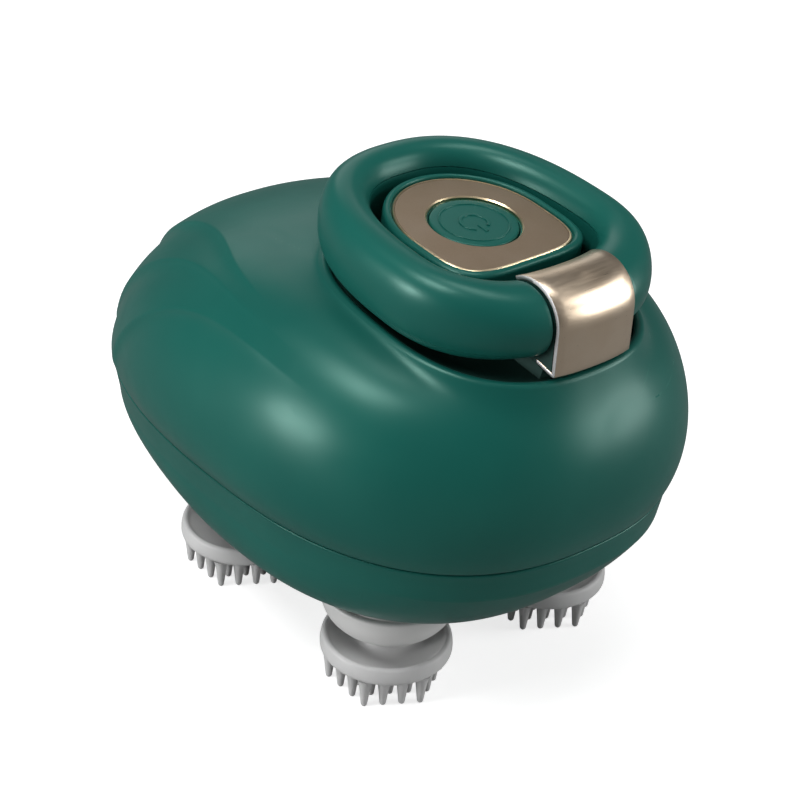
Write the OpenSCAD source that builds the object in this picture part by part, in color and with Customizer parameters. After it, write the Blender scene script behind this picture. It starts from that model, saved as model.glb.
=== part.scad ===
// Electric scalp massager: an egg-shaped hand unit on four spinning finger heads, with a power
// button in a pod on top and an oval ring handle that flips up on a pin under a metal strap.
// Millimetres. +X is the strap end, +Z is up, and z = 0 is the plane of the finger tips.

/* [Massage heads] */
// Distance between the front and rear head axes
head_spacing_x = 48; // [46:0.5:52]
// Distance between the left and right head axes
head_spacing_y = 42; // [40:0.5:44]
// Free length of a silicone finger
finger_length = 6.6; // [5:0.1:9]
// Diameter of a finger at its root
finger_root_d = 3; // [2.2:0.1:3.2]
// Diameter of a finger's rounded tip
finger_tip_d = 1.4; // [1.2:0.1:2]
// Distance between neighbouring fingers
finger_step = 3.7; // [3.5:0.02:3.74]
// Rings of fingers round the middle one
finger_rings = 3; // [1:1:3]
// Diameter of the silicone pad
pad_d = 26.2; // [25.8:0.2:28]
// Height of the pad from its underside to its rim
pad_height = 4; // [3:0.1:5]
// Diameter of the drive cup above the pad
cup_d = 27; // [24:0.2:32]
// Height of the drive cup over its neck
cup_height = 9.2; // [8:0.1:11]
// Diameter of a head's steel shaft
shaft_d = 5; // [4:0.1:6]

/* [Lower shell] */
// Air between the cup rims and the lower shell
base_gap = 1.6; // [1:0.1:3]
// Height of the lower shell, from its floor to the parting line
base_depth = 17.4; // [16.8:0.1:22]
// Front reach of the flat floor
floor_front = 46.5; // [44:0.1:48]
// Rear reach of the flat floor
floor_rear = 40; // [39:0.1:46]
// Half width of the flat floor
floor_half = 40; // [39:0.1:42]
// Height of the upright band under the parting line
band_height = 6.6; // [4:0.1:8]
// How far the band leans in at its lower edge
band_lean = 1; // [0.4:0.1:2]

/* [Body outline] */
// Front reach of the parting line
body_front = 56.2; // [54:0.1:62]
// Rear reach of the parting line
body_rear = 72; // [66:0.1:78]
// Half width at the parting line
body_half = 44.6; // [42:0.1:48]
// Squareness of the outline, where 2 is an ellipse
body_square = 2.45; // [2.1:0.05:2.8]
// Thickness of the shells
wall = 2.2; // [1.6:0.1:2.6]

/* [Dome] */
// Swell of the dome past the parting line at the front
swell_front = 5.8; // [3:0.1:8]
// Draw of the dome behind the parting line at the rear
swell_rear = 6.4; // [3:0.1:9]
// Swell of the dome past the parting line at the sides
swell_half = 11.4; // [7:0.1:13]
// Height of the widest level over the parting line
swell_rise = 12.2; // [9:0.1:15]
// Depth of the shoulder guide under the lip at the front
shoulder_front_drop = 7.1; // [4:0.1:9]
// Height of the shoulder guide over the lip at the sides
shoulder_side_rise = 8.9; // [5:0.1:11]
// Depth of the stepped feather relief at the rear
relief_depth = 1.7; // [0.4:0.1:1.8]

/* [Collar] */
// Middle of the collar lip, in front of the heads' middle
lip_x = 21; // [19:0.1:23]
// Front reach of the lip from its middle
lip_front = 29.4; // [29:0.1:31]
// Rear reach of the lip from its middle
lip_rear = 31; // [30:0.1:34]
// Half width of the lip
lip_half = 25.7; // [25:0.1:29]
// Height of the lip over the parting line at the sides
lip_rise = 38.2; // [38:0.1:40]
// Forward tilt of the lip
lip_tilt = 7; // [6:0.1:8]

/* [Button pod] */
// Middle of the button, in front of the heads' middle
pod_x = 17; // [16.4:0.1:17.6]
// Height of the face plate over the parting line
pod_rise = 50.2; // [49:0.1:51.4]
// Forward tilt of the pod and of the ring handle
pod_tilt = 5.2; // [4.6:0.1:6]
// Front reach of the face plate from its middle
plate_front = 14.3; // [13.8:0.1:14.8]
// Rear reach of the face plate from its middle
plate_rear = 16.2; // [15.4:0.1:17]
// Half width of the face plate
plate_half = 14.4; // [13.9:0.1:14.8]
// Thickness of the face plate
plate_t = 0.8; // [0.5:0.1:1.2]
// Width of the green rim round the face plate
rim_width = 1.65; // [1.2:0.05:1.9]
// Diameter of the power button
button_d = 16.9; // [15:0.1:17.5]
// Travel of the power button
button_travel = 0.6; // [0.3:0.1:0.7]

/* [Ring handle] */
// Hinge pin, in front of the heads' middle
hinge_x = 42.4; // [42.2:0.1:42.6]
// Height of the hinge pin over the parting line
hinge_rise = 44.3; // [44:0.1:45]
// Distance of the ring's middle behind the hinge pin
ring_front = 18.5; // [18.2:0.1:18.8]
// Rear reach of the ring's centre line from its middle
ring_rear = 31.9; // [31.4:0.1:32.4]
// Half width of the ring's centre line
ring_half = 23.1; // [22.9:0.1:25]
// Width of the ring's tube
ring_w = 9.6; // [8.8:0.1:9.8]
// Height of the ring's tube
ring_h = 14.7; // [13:0.1:14.8]
// Diameter of the ring's round ends beside the strap
ring_end_d = 13.6; // [13.2:0.1:14]
// Diameter of the hinge pin
pin_d = 3; // [2.4:0.1:3.4]
// Width of the metal strap
strap_width = 18.5; // [16:0.1:19.5]
// Thickness of the metal strap
strap_t = 0.9; // [0.6:0.1:1.1]

/* [Drive] */
// Teeth of the sun gear
sun_teeth = 36; // [34:1:38]
// Teeth of a head gear
head_teeth = 28; // [26:1:30]
// Teeth of the large wheel on the sun gear
wheel_teeth = 56; // [50:2:58]
// Teeth of the motor pinion
pinion_teeth = 16; // [14:1:18]
// Module of the motor pinion and the large wheel
wheel_module = 0.5; // [0.45:0.01:0.52]
// Face width of the sun and head gears
gear_face = 4.5; // [3:0.1:5]
// Face width of the large wheel
wheel_face = 3; // [2:0.1:3.4]
// Diameter of the motor can
motor_d = 24; // [20:0.5:25]
// Length of the motor can
motor_length = 28; // [22:0.5:29]

/* [Battery] */
// Diameter of the battery cell
cell_d = 18.3; // [14:0.1:18.6]
// Length of the battery cell
cell_length = 50; // [42:0.5:52]
// Middle of the cell, in front of the heads' middle
cell_x = 27; // [25:0.1:28]

/* [Fits] */
// Gap between parts that don't touch
gap = 0.3; // [0.2:0.05:0.4]
// Radial running clearance of shafts and bores
running_fit = 0.05; // [0.03:0.01:0.09]
// Radial gap of screws, bushes and pins that sit fast in their holes
seat_gap = 0.04; // [0.03:0.01:0.06]
// Thinning of each tooth, measured along the pitch circle
tooth_thinning = 0.16; // [0.1:0.01:0.2]

/* [Hidden] */

green = "#12493f";
gold = "#d9bd90";
bronze = "#92826f";
grey = "#8f8f8f";
steel = "#b9bcc0";
nylon = "#e9e6dc";
black = "#26282a";
board_green = "#1d5a34";
lead_red = "#a02b24";
bush_brown = "#c79a4b";

$fn = 64;

// ---- Heights, from the finger tips up ----
tip_flat = 0.2;
pad_z = finger_length;
neck_d = 9.2;
spigot_d = 5.8;
neck_top_z = pad_z + pad_height + 2;
cup_z = neck_top_z + 0.1;
cup_top_z = cup_z + cup_height;
base_z = cup_top_z + base_gap;
floor_z = base_z + wall;
plate_seat = 1.4;
gearbox_z = floor_z + plate_seat;
gearbox_plate = 2;
gear_z = gearbox_z + gearbox_plate + 0.6;
wheel_z = gear_z + gear_face + 0.5;
cover_z = wheel_z + wheel_face + 0.8;
motor_z = cover_z + gearbox_plate;
parting_z = base_z + base_depth;
gasket_h = 0.4;
lip_z = parting_z + lip_rise;
pod_z = parting_z + pod_rise;
hinge_z = parting_z + hinge_rise;

// ---- Heads and gears ----
head_x = head_spacing_x / 2;
head_y = head_spacing_y / 2;
head_places = [[head_x, -head_y], [-head_x, -head_y], [head_x, head_y], [-head_x, head_y]];
head_distance = norm([head_x, head_y]);
gear_module = 2 * head_distance / (sun_teeth + head_teeth);
addendum = 0.85;
dedendum = 1.2;
pressure_angle = 20;
motor_x = -wheel_module * (wheel_teeth + pinion_teeth) / 2;
bush_d = shaft_d + 3;
seal_d = bush_d + 4;
axle_d = 4;
motor_shaft_d = 2.3;
motor_screw_d = 2;

// ---- Shell grids ----
shell_steps_round = 88;
shell_steps_down = 17;
rear_crowding = 20;
function round_angle(i, n) = 360 * i / n + rear_crowding * sin(360 * i / n);

// A guide oval: middle, front reach, rear reach, half width, squareness, heights at front, side, rear
lip_oval = [lip_x, lip_front, lip_rear, lip_half, 2.6,
  lip_z - lip_front * sin(lip_tilt) + 0.1, lip_z, lip_z + lip_rear * sin(lip_tilt) - 0.6];
collar_out = 3.7;
collar_oval = [lip_x, lip_front + collar_out, lip_rear + collar_out, lip_half + collar_out, 2.4,
  lip_oval[5] - 12.1, lip_oval[6] - 6.1, lip_oval[7] - 6.7];
shoulder_x = 0.6 * lip_x;
shoulder_oval = [shoulder_x, body_front - shoulder_x - 2, body_rear + shoulder_x - 6.3, body_half - 5.6, 2.2,
  lip_oval[5] - shoulder_front_drop, lip_oval[6] + shoulder_side_rise, lip_oval[7] + 0.3];
swell_oval = [0, body_front + swell_front, body_rear - swell_rear, body_half + swell_half, 2.3,
  parting_z + swell_rise, parting_z + swell_rise, parting_z + swell_rise];
parting_oval = [0, body_front, body_rear, body_half, body_square, parting_z, parting_z, parting_z];
dome_guides = [lip_oval, collar_oval, shoulder_oval, swell_oval, parting_oval];
binomials = [1, 4, 6, 4, 1];

// ---- Feather relief: three stepped edges that rise from the parting line and fade forward ----
// Each edge: angle from the rear where it starts, level it settles at, how fast it settles, where it fades
relief_edges = [[10.5, 0.37, 6.4, 74], [23.6, 0.44, 7.2, 98], [39.3, 0.52, 8.5, 108]];
dome_length = 62;
degree_length = 1;
crest_share = 0.35;
trough_share = 0.6;

// ---- Screws ----
screw_d = 2.2;
screw_head_d = 4.2;
screw_head_h = 1.6;
tower_d = 7;
shell_screw_places = [for (side = [-1, 1]) each [[body_front - 14.7, 11 * side],
  [0, (body_half - 8.1) * side], [28 - body_rear, (body_half - 18.6) * side]]];
tower_top = 9;
flat_recess = 4;
rear_recess = 6;
screw_hole_d = screw_d + 2 * seat_gap;
column_x = head_spacing_x / 2 + 10;
column_y = head_spacing_y / 2 + 4.5;
column_places = [[column_x, 0], [-column_x, 0], [0, column_y], [0, -column_y]];
column_d = 6.4;

// ---- Pod levels, measured from the top of the face plate along the pod's axis ----
plate_x = 0.5;
plate_front_square = 4.2;
trim_gap = 0.05;
trim_width = 0.5;
pod_out = trim_gap + trim_width + rim_width;
pod_wall = 2;
rim_top = 0.5;
pod_floor = 2;
pod_bottom = -17;
flange_top = -15.3;
flange_out = 1.6;
deck_level = -12.5;
deck_t = 2;
button_top = -0.3;
button_clear = 0.2;
flange_z = -plate_t - pod_floor - gap;
stem_end = flange_z - 2.1;
switch_top = stem_end - button_travel - 0.2;
board_z = switch_top - 3.5;
board_t = 1.2;
board_screw_d = 1.6;
post_d = board_screw_d + 1.8;
seal_outer_d = button_d + 4.1;
board_screw_y = (seal_outer_d + post_d) / 2 + 0.2;

// ---- Ring handle ----
ring_square = 2.4;
section_square = 2.3;
ring_screw_d = 1.8;
seam_outside = -4.6;
seam_inside = 3.6;
ring_screw_seat = -4.2;
ring_screw_length = 9;
ring_screw_head_h = 1.2;
ring_end_gap = 0.35;
ring_end = strap_width / 2 + ring_end_gap;
ring_reach = ring_front / pow(1 - pow(ring_end / ring_half, ring_square), 1 / ring_square);
pin_reach = ring_end + 3;
seat_tilt = 16;
seat_t = 4;
seat_z = lip_oval[5] + 2.7;
seat_front = 5;
strap_bottom = lip_oval[5] + 0.9;
strap_foot = 3.8;
strap_rear_angle = 124;
post_screw_x = -1.4;
post_screw_y = 5.5;

// ---- Charging inlet at the rear, in a frame on the dome with w outwards and u up the dome ----
inlet_level = 0.86;
inlet_w = 11.4;
inlet_h = 5.4;
socket_w = 9;
socket_h = 3.2;
socket_skin = 0.3;
inlet_board_top = -socket_h / 2;
inlet_board_length = 12;

// ======== Functions ========

function flat_pair(a, v1, v2) = cos(a) > 0 ? v1 : v2;

// Polar radius of an oval whose front and rear halves differ
function oval_r(a, front, rear, half, sq_front, sq_rear) =
  let (sq = flat_pair(a, sq_front, sq_rear))
  pow(pow(abs(cos(a)) / flat_pair(a, front, rear), sq) + pow(abs(sin(a)) / half, sq), -1 / sq);

// Height round an oval that has its own height at the front, sides and rear
function oval_z(a, front, side, rear) =
  side + (front - rear) / 2 * cos(a) + ((front + rear) / 2 - side) * pow(cos(a), 2);

function guide_point(g, a) =
  let (r = oval_r(a, g[1], g[2], g[3], g[4], g[4]))
  [g[0] + r * cos(a), r * sin(a), oval_z(a, g[5], g[6], g[7])];

// The smooth dome, as a Bezier curve from the lip (t = 0) to the parting line (t = 1)
function dome_point(a, t) =
  let (weights = [for (i = [0:4]) binomials[i] * pow(t, i) * pow(1 - t, 4 - i)])
  weights * [for (g = dome_guides) guide_point(g, a)];

function dome_normal(a, t) =
  let (da = 0.5, dt = 0.01,
       round = dome_point(a + da, t) - dome_point(a - da, t),
       down = dome_point(a, min(1, t + dt)) - dome_point(a, max(0, t - dt)),
       n = cross(down, round))
  n / norm(n);

function smooth(x) = let (u = max(0, min(1, x))) u * u * (3 - 2 * u);

// Height of one relief step at a distance d below its edge: a crest, a drop and a slow recovery
function step_height(d) = d < 0
  ? crest_share * exp(d / 5)
  : (crest_share + trough_share) * exp(-d / 1.8) - trough_share * exp(-d / 5);

function edge_height(edge, rear_angle, t) =
  let (settle = (1 - edge[1]) * exp(-(rear_angle - edge[0]) / edge[2]),
       slope = settle / edge[2] * dome_length / degree_length,
       d = dome_length * (t - edge[1] - settle) / sqrt(1 + slope * slope),
       fade = 1 - smooth((rear_angle - edge[0] - 18) / (edge[3] - edge[0] - 18)))
  fade * step_height(d);

function relief(a, t) =
  let (wrapped = a > 180 ? a - 360 : a,
       rear_angle = 180 - abs(wrapped),
       ends = smooth((1 - t) / 0.08) * smooth((t - 0.12) / 0.16))
  relief_depth * ends * sum([for (edge = relief_edges) edge_height(edge, rear_angle, t)]);

function sum(v, i = 0) = i < len(v) ? v[i] + sum(v, i + 1) : 0;

function above_gasket(p) = [p[0], p[1], max(p[2], parting_z + gasket_h / 2)];

function shell_outer(a, t) = above_gasket(dome_point(a, t) + dome_normal(a, t) * relief(a, t));

// The inner face is square to the outer one, and turns level at the rim so that the rim is flat
function shell_inner(a, t) =
  let (n = dome_normal(a, t), levelled = [n[0], n[1], n[2] * (1 - smooth((t - 0.86) / 0.14))])
  above_gasket(dome_point(a, t) - levelled / norm(levelled) * wall);

// Pod frame to the part's frame
function from_pod(p) = [pod_x + p[0] * cos(pod_tilt) + p[2] * sin(pod_tilt), p[1],
  pod_z - p[0] * sin(pod_tilt) + p[2] * cos(pod_tilt)];

function plate_point(a, out) =
  let (r = oval_r(a, plate_front + out, plate_rear + out, plate_half + out, plate_front_square, 2))
  [plate_x + r * cos(a), r * sin(a)];

function plate_outline(out) = [for (i = [0:95]) plate_point(360 * i / 96, out)];

// Ring handle centre line in the handle's own frame, with the pin at the origin
function ring_path(a) =
  let (r = oval_r(a, ring_reach, ring_rear, ring_half, ring_square, ring_square))
  [r * cos(a) - ring_front, r * sin(a), 0];

function ring_side(a) =
  let (d = ring_path(a + 0.5) - ring_path(a - 0.5)) [d[1], -d[0], 0] / norm(d);

function power(v, e) = sign(v) * pow(abs(v), e);

function mix(v1, v2, share) = v1 + (v2 - v1) * share;

// The tube is round where it meets the strap, and turns into a tall soft oval along the sides
function end_share(a) =
  cos(a) > 0 ? 1 - smooth((abs(ring_path(a)[1]) - ring_end) / (ring_half - ring_end)) : 0;

function section_point(b, share) =
  let (sq = mix(section_square, 2, share))
  [mix(ring_w, ring_end_d, share) / 2 * power(cos(b), 2 / sq),
   mix(ring_h, ring_end_d, share) / 2 * power(sin(b), 2 / sq)];

// Involute gear outline, with tooth 0 centred on the +X axis
function involute(r, base_r) = tan(acos(base_r / r)) * 180 / PI - acos(base_r / r);

function tooth_half(r, base_r, pitch_r, teeth) =
  90 / teeth - tooth_thinning / 2 / pitch_r * 180 / PI + involute(pitch_r, base_r) - involute(r, base_r);

function gear_outline(teeth, m) =
  let (pitch_r = m * teeth / 2,
       base_r = pitch_r * cos(pressure_angle),
       tip_r = pitch_r + addendum * m,
       root_r = pitch_r - dedendum * m,
       start_r = max(base_r, root_r),
       flank = [for (k = [0:4]) start_r + (tip_r - start_r) * k / 4],
       foot = tooth_half(start_r, base_r, pitch_r, teeth))
  [for (i = [0:teeth - 1]) let (mid = 360 * i / teeth)
    each concat([polar(root_r, mid - foot)],
      [for (r = flank) polar(r, mid - tooth_half(r, base_r, pitch_r, teeth))],
      [for (k = [4:-1:0]) polar(flank[k], mid + tooth_half(flank[k], base_r, pitch_r, teeth))],
      [polar(root_r, mid + foot)])];

function polar(r, a) = [r * cos(a), r * sin(a)];

// Turn of a gear whose teeth meet those of a driver that has a tooth on +X, in direction a from it
function mesh_turn(a, driver_teeth, teeth) =
  let (pitch = 360 / driver_teeth, offset = ceil(a / pitch) * pitch - a)
  a + 180 - offset * driver_teeth / teeth + 180 / teeth;

// ======== Shared modules ========

function quad(a, b, c, d, crossed) = crossed ? [[a, b, d], [b, c, d]] : [[a, b, c], [a, c, d]];

// A closed solid from rings of equally many points, closed like a torus or capped at both ends.
// Two solids that meet along a curved seam match if one of them has its four-sided faces crossed
module ring_stack(rings, capped = false, crossed = false) {
  n = len(rings[0]);
  m = len(rings);
  last = capped ? m - 2 : m - 1;
  sides = [for (j = [0:last], i = [0:n - 1])
    let (up = (j + 1) % m, next = (i + 1) % n)
    each quad(j * n + i, j * n + next, up * n + next, up * n + i, crossed)];
  caps = capped ? [[for (i = [n - 1:-1:0]) i], [for (i = [0:n - 1]) (m - 1) * n + i]] : [];
  polyhedron([for (r = rings) each r], concat(sides, caps));
}

module pod_frame() {
  translate([pod_x, 0, pod_z]) rotate([0, pod_tilt, 0]) children();
}

module handle_frame() {
  translate([hinge_x, 0, hinge_z]) rotate([0, pod_tilt, 0]) children();
}

function inlet_turn() = -acos(dome_normal(180, inlet_level)[2]);

module inlet_frame() {
  translate(dome_point(180, inlet_level)) rotate([0, inlet_turn(), 0]) children();
}

module tube(outer_d, inner_d, h) {
  difference() {
    cylinder(d = outer_d, h = h);
    translate([0, 0, -1]) cylinder(d = inner_d, h = h + 2);
  }
}

// A screw with its head's top at z = 0, pointing down
module screw(length, d = screw_d, head_d = screw_head_d, head_h = screw_head_h) {
  difference() {
    union() {
      translate([0, 0, -head_h]) cylinder(d = head_d, h = head_h);
      translate([0, 0, -length]) cylinder(d = d, h = length - head_h / 2);
    }
    for (turn = [0, 90])
      translate([0, 0, -0.4]) rotate([0, 0, turn])
        translate([-head_d / 3, -0.3, 0]) cube([head_d / 1.5, 0.6, 1]);
  }
}

// A bar with round ends, lying along Y
module slot(length, height, depth) {
  translate([0, 0, depth / 2]) cube([height, length - height, depth], center = true);
  for (side = [-1, 1])
    translate([0, side * (length - height) / 2, 0]) cylinder(d = height, h = depth);
}

function blend(points, t) =
  let (n = len(points)) n == 1 ? points[0]
  : blend([for (i = [0:n - 2]) points[i] * (1 - t) + points[i + 1] * t], t);

// An insulated lead along the smooth curve that a few points steer
module lead(points, d = 1.2) {
  steps = 11;
  sides = 8;
  ring_stack([for (k = [0:steps])
    let (t = k / steps, p = blend(points, t),
         along = blend(points, min(1, t + 0.01)) - blend(points, max(0, t - 0.01)),
         across = cross(along, [0, 1, 0]), u = across / norm(across),
         up = cross(u, along), v = up / norm(up))
    [for (i = [0:sides - 1])
      p + (u * cos(360 * i / sides) + v * sin(360 * i / sides)) * d / 2]], capped = true);
}

// ======== Casing ========

module screw_tower(height) {
  cylinder(d = tower_d, h = height);
}

module upper_shell() {
  angles = [for (i = [0:shell_steps_round - 1]) round_angle(i, shell_steps_round)];
  outer = [for (j = [0:shell_steps_down]) [for (a = angles) shell_outer(a, j / shell_steps_down)]];
  inner = [for (j = [shell_steps_down:-1:0]) [for (a = angles) shell_inner(a, j / shell_steps_down)]];
  color(green) difference() {
    union() {
      ring_stack(concat(outer, inner));
      for (p = shell_screw_places) {
        reach = oval_r(atan2(p[1], p[0]), body_front, body_rear, body_half, body_square, body_square);
        web = reach - norm(p) - wall / 2;
        translate([p[0], p[1], parting_z + gasket_h]) {
          screw_tower(tower_top);
          rotate([0, 0, atan2(p[1], p[0])]) translate([0, -1, 0]) cube([web, 2, tower_top / 2]);
        }
      }
      inlet_frame() for (side = [-1, 1])
        translate([inlet_board_top - board_t - 2 - seat_gap, side * 5 - 1, -inlet_board_length])
          cube([2, 2, inlet_board_length - 1]);
    }
    for (p = shell_screw_places)
      translate([p[0], p[1], parting_z - 1]) cylinder(d = screw_hole_d, h = tower_top);
    inlet_frame() translate([0, 0, -6]) slot(inlet_w + gap, inlet_h + gap, 12);
  }
}

// Over the sloping rear of the floor, a tower starts higher than over its flat middle
function tower_base(p) = base_z + (p[0] < -floor_rear ? 3 : 1);
function tower_recess(p) = base_z + (p[0] < -floor_rear ? rear_recess : flat_recess);

function lower_oval(a, t, inset, lowest) =
  let (band = guide_point([0, body_front - band_lean - inset, body_rear - 1.6 * band_lean - inset,
         body_half - band_lean - inset, body_square, 0, 0, 0], a),
       knee = guide_point([0, body_front - 5.7 - inset, body_rear - inset,
         body_half - 1.1 - inset, 2.4, 0, 0, 0], a),
       rim = guide_point([0, floor_front - inset, floor_rear - inset, floor_half - inset, 2.4, 0, 0, 0], a),
       flat = band * pow(1 - t, 2) + knee * 2 * t * (1 - t) + rim * t * t,
       band_z = parting_z - band_height,
       knee_z = lowest + 3.2,
       z = band_z * pow(1 - t, 2) + knee_z * 2 * t * (1 - t) + lowest * t * t)
  [flat[0], flat[1], z];

module lower_shell() {
  angles = [for (i = [0:71]) 5 * i];
  top = parting_z - gasket_h / 2;
  outer_top = [for (a = angles) let (p = guide_point(parting_oval, a)) [p[0], p[1], top]];
  inner_oval = [0, body_front - wall, body_rear - wall, body_half - wall, body_square, top, top, top];
  inner_top = [for (a = angles) guide_point(inner_oval, a)];
  outer = [for (j = [0:5]) [for (a = angles) lower_oval(a, j / 5, 0, base_z)]];
  inner = [for (j = [5:-1:0]) [for (a = angles) lower_oval(a, j / 5, wall, floor_z)]];
  color(green) difference() {
    union() {
      ring_stack(concat(inner, [inner_top], [outer_top], outer), capped = true);
      for (p = shell_screw_places) translate([p[0], p[1], tower_base(p)]) screw_tower(top - tower_base(p));
      for (p = column_places)
        translate([p[0], p[1], floor_z - 0.5]) cylinder(d = column_d, h = plate_seat + 0.5);
      for (p = head_places)
        translate([p[0], p[1], floor_z - 0.5]) cylinder(d = seal_d + 4, h = plate_seat + 0.3);
    }
    for (p = head_places)
      translate([p[0], p[1], base_z - 1]) cylinder(d = seal_d + 2 * seat_gap, h = wall + plate_seat + 2);
    for (p = shell_screw_places) {
      translate([p[0], p[1], base_z - 1]) cylinder(d = screw_head_d + 0.4, h = tower_recess(p) - base_z + 1);
      translate([p[0], p[1], base_z]) cylinder(d = screw_hole_d, h = base_depth + 1);
    }
    for (p = column_places)
      translate([p[0], p[1], floor_z - 0.8]) cylinder(d = screw_hole_d, h = 4);
  }
}

module shell_gasket() {
  angles = [for (i = [0:71]) 5 * i];
  low = parting_z - gasket_h / 2;
  high = parting_z + gasket_h / 2;
  inset = 0.35;
  outer = [0, body_front - inset, body_rear - inset, body_half - inset, body_square];
  inner = [0, body_front - wall, body_rear - wall, body_half - wall, body_square];
  color(black) ring_stack([
    for (k = [[inner, low], [inner, high], [outer, high], [outer, low]])
      [for (a = angles) guide_point(concat(k[0], [k[1], k[1], k[1]]), a)]]);
}

module shell_screws() {
  color(steel) for (p = shell_screw_places)
    translate([p[0], p[1], tower_recess(p) - screw_head_h]) rotate([180, 0, 0])
      screw(parting_z + tower_top - 3 - tower_recess(p) + screw_head_h);
}

// ======== Collar deck and button pod ========

module collar_deck() {
  angles = [for (i = [0:71]) 5 * i];
  axis = [sin(pod_tilt), 0, cos(pod_tilt)];
  outer = [for (a = angles) let (p = shell_inner(a, 0), in = [cos(a), sin(a), 0] * gap)
    p - in - [0, 0, 0.5]];
  inner = [for (a = angles) let (p = plate_point(a, pod_out + gap)) from_pod([p[0], p[1], deck_level])];
  middle = [for (i = [0:71]) (outer[i] + inner[i]) / 2 - axis * 0.3];
  lowered = function (ring) [for (p = ring) p - axis * deck_t];
  color(green) difference() {
    union() {
      ring_stack([outer, lowered(outer), lowered(middle), lowered(inner), inner, middle]);
      hinge_seat();
    }
    post_screw_places() {
      translate([0, 0, -10]) cylinder(d = screw_hole_d, h = 20);
      translate([0, 0, -10]) cylinder(d = screw_head_d + 0.4, h = 10 - seat_t);
    }
  }
}

module seat_frame() {
  translate([hinge_x, 0, seat_z]) rotate([0, seat_tilt, 0]) children();
}

module post_screw_places() {
  seat_frame() for (side = [-1, 1]) translate([post_screw_x, side * post_screw_y, 0]) children();
}

module hinge_seat() {
  seat_frame() translate([-ring_end_d / 2, -strap_width / 2, -seat_t])
    cube([ring_end_d / 2 + seat_front, strap_width, seat_t]);
}

module pod_housing() {
  color(green) pod_frame() difference() {
    union() {
      translate([0, 0, pod_bottom]) linear_extrude(rim_top - pod_bottom) polygon(plate_outline(pod_out));
      translate([0, 0, pod_bottom]) linear_extrude(flange_top - pod_bottom)
        polygon(plate_outline(pod_out + flange_out));
    }
    translate([0, 0, -plate_t]) linear_extrude(5) polygon(plate_outline(trim_gap + trim_width));
    difference() {
      translate([0, 0, pod_bottom - 1]) linear_extrude(-plate_t - pod_floor - pod_bottom + 1)
        polygon(plate_outline(pod_out - pod_wall));
      for (side = [-1, 1])
        translate([plate_x, side * board_screw_y, board_z]) cylinder(d = post_d, h = -board_z);
    }
    translate([0, 0, -5]) cylinder(d = button_d + 2 * button_clear, h = 10);
    for (side = [-1, 1])
      translate([plate_x, side * board_screw_y, board_z - 1])
        cylinder(d = board_screw_d + 2 * seat_gap, h = 5.6);
  }
}

module face_plate() {
  color(bronze) pod_frame() difference() {
    translate([0, 0, -plate_t]) linear_extrude(plate_t) polygon(plate_outline(0));
    translate([0, 0, -5]) cylinder(d = button_d + 1, h = 10);
  }
}

module plate_trim() {
  color(gold) pod_frame() translate([0, 0, -plate_t]) linear_extrude(plate_t + 0.15) difference() {
    polygon(plate_outline(trim_gap + trim_width - 0.05));
    polygon(plate_outline(trim_gap));
  }
}

module power_button() {
  symbol_d = 6;
  color(green) pod_frame() {
    translate([0, 0, flange_z - 1]) cylinder(d = button_d, h = button_top - flange_z + 1);
    translate([0, 0, flange_z - 1]) cylinder(d = button_d + 2, h = 1);
    translate([0, 0, stem_end]) cylinder(d = 4, h = 3);
    translate([0, 0, button_top - 0.1]) tube(button_d - 3.3, button_d - 4.1, 0.3);
    translate([0, 0, button_top - 0.1]) power_symbol(symbol_d, 0.7, 0.3);
  }
}

// An open ring with a stroke in its gap, towards the strap
module power_symbol(d, line, h) {
  difference() {
    tube(d, d - 2 * line, h);
    translate([0, -1.5 * line, -1]) cube([d, 3 * line, h + 2]);
  }
  translate([d / 5, -line / 2, 0]) cube([d / 2.4, line, h]);
}

module button_seal() {
  color(black) pod_frame() translate([0, 0, flange_z - 1.2])
    tube(seal_outer_d, seal_outer_d - 1.4, 1.2 + gap);
}

module tact_switch() {
  body = 6;
  color(black) pod_frame() {
    translate([-body / 2, -body / 2, board_z]) cube([body, body, 2.6]);
    translate([0, 0, board_z]) cylinder(d = 3.5, h = switch_top - board_z);
  }
}

module control_board() {
  color(board_green) pod_frame() translate([0, 0, board_z - board_t]) difference() {
    linear_extrude(board_t) polygon(plate_outline(pod_out - pod_wall - gap));
    for (side = [-1, 1])
      translate([plate_x, side * board_screw_y, -1]) cylinder(d = board_screw_d + 2 * seat_gap, h = 5);
  }
}

module board_screws() {
  color(steel) pod_frame() for (side = [-1, 1])
    translate([plate_x, side * board_screw_y, board_z - board_t - 1]) rotate([180, 0, 0])
      screw(5, board_screw_d, 3, 1);
}

// ======== Ring handle and its hinge ========

module ring_sweep(section, sunk = 0, crossed = false) {
  steps = 76;
  rings = [for (b = section) [for (i = [0:steps - 1])
    let (a = 360 * i / steps, p = section_point(b, end_share(a)))
    ring_path(a) + ring_side(a) * p[0] + [0, 0, p[1] - sunk]]];
  handle_frame() difference() {
    ring_stack(rings, crossed = crossed);
    translate([-ring_end_d, -ring_end, -ring_h]) cube([2 * ring_end_d, 2 * ring_end, 2 * ring_h]);
    rotate([90, 0, 0]) cylinder(d = pin_d + 2 * seat_gap, h = 2 * (pin_reach + seat_gap), center = true);
    ring_screw_places() {
      translate([0, 0, ring_screw_seat - 1])
        cylinder(d = ring_screw_d + 2 * seat_gap, h = ring_screw_length);
      translate([0, 0, -ring_h]) cylinder(d = 3.4, h = ring_h + ring_screw_seat);
    }
  }
}

module ring_screw_places() {
  for (a = [62, 138, 222, 298]) translate(ring_path(a)) children();
}

// Where the joint of the two halves leaves the section, outside and inside
function seam_angle(level) = asin(power(2 * level / ring_h, section_square / 2));
seam_start = seam_angle(seam_outside);
seam_stop = 180 - seam_angle(seam_inside);

module ring_upper() {
  color(green) ring_sweep([for (k = [0:14]) seam_stop + (seam_start - seam_stop) * k / 14]);
}

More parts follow.
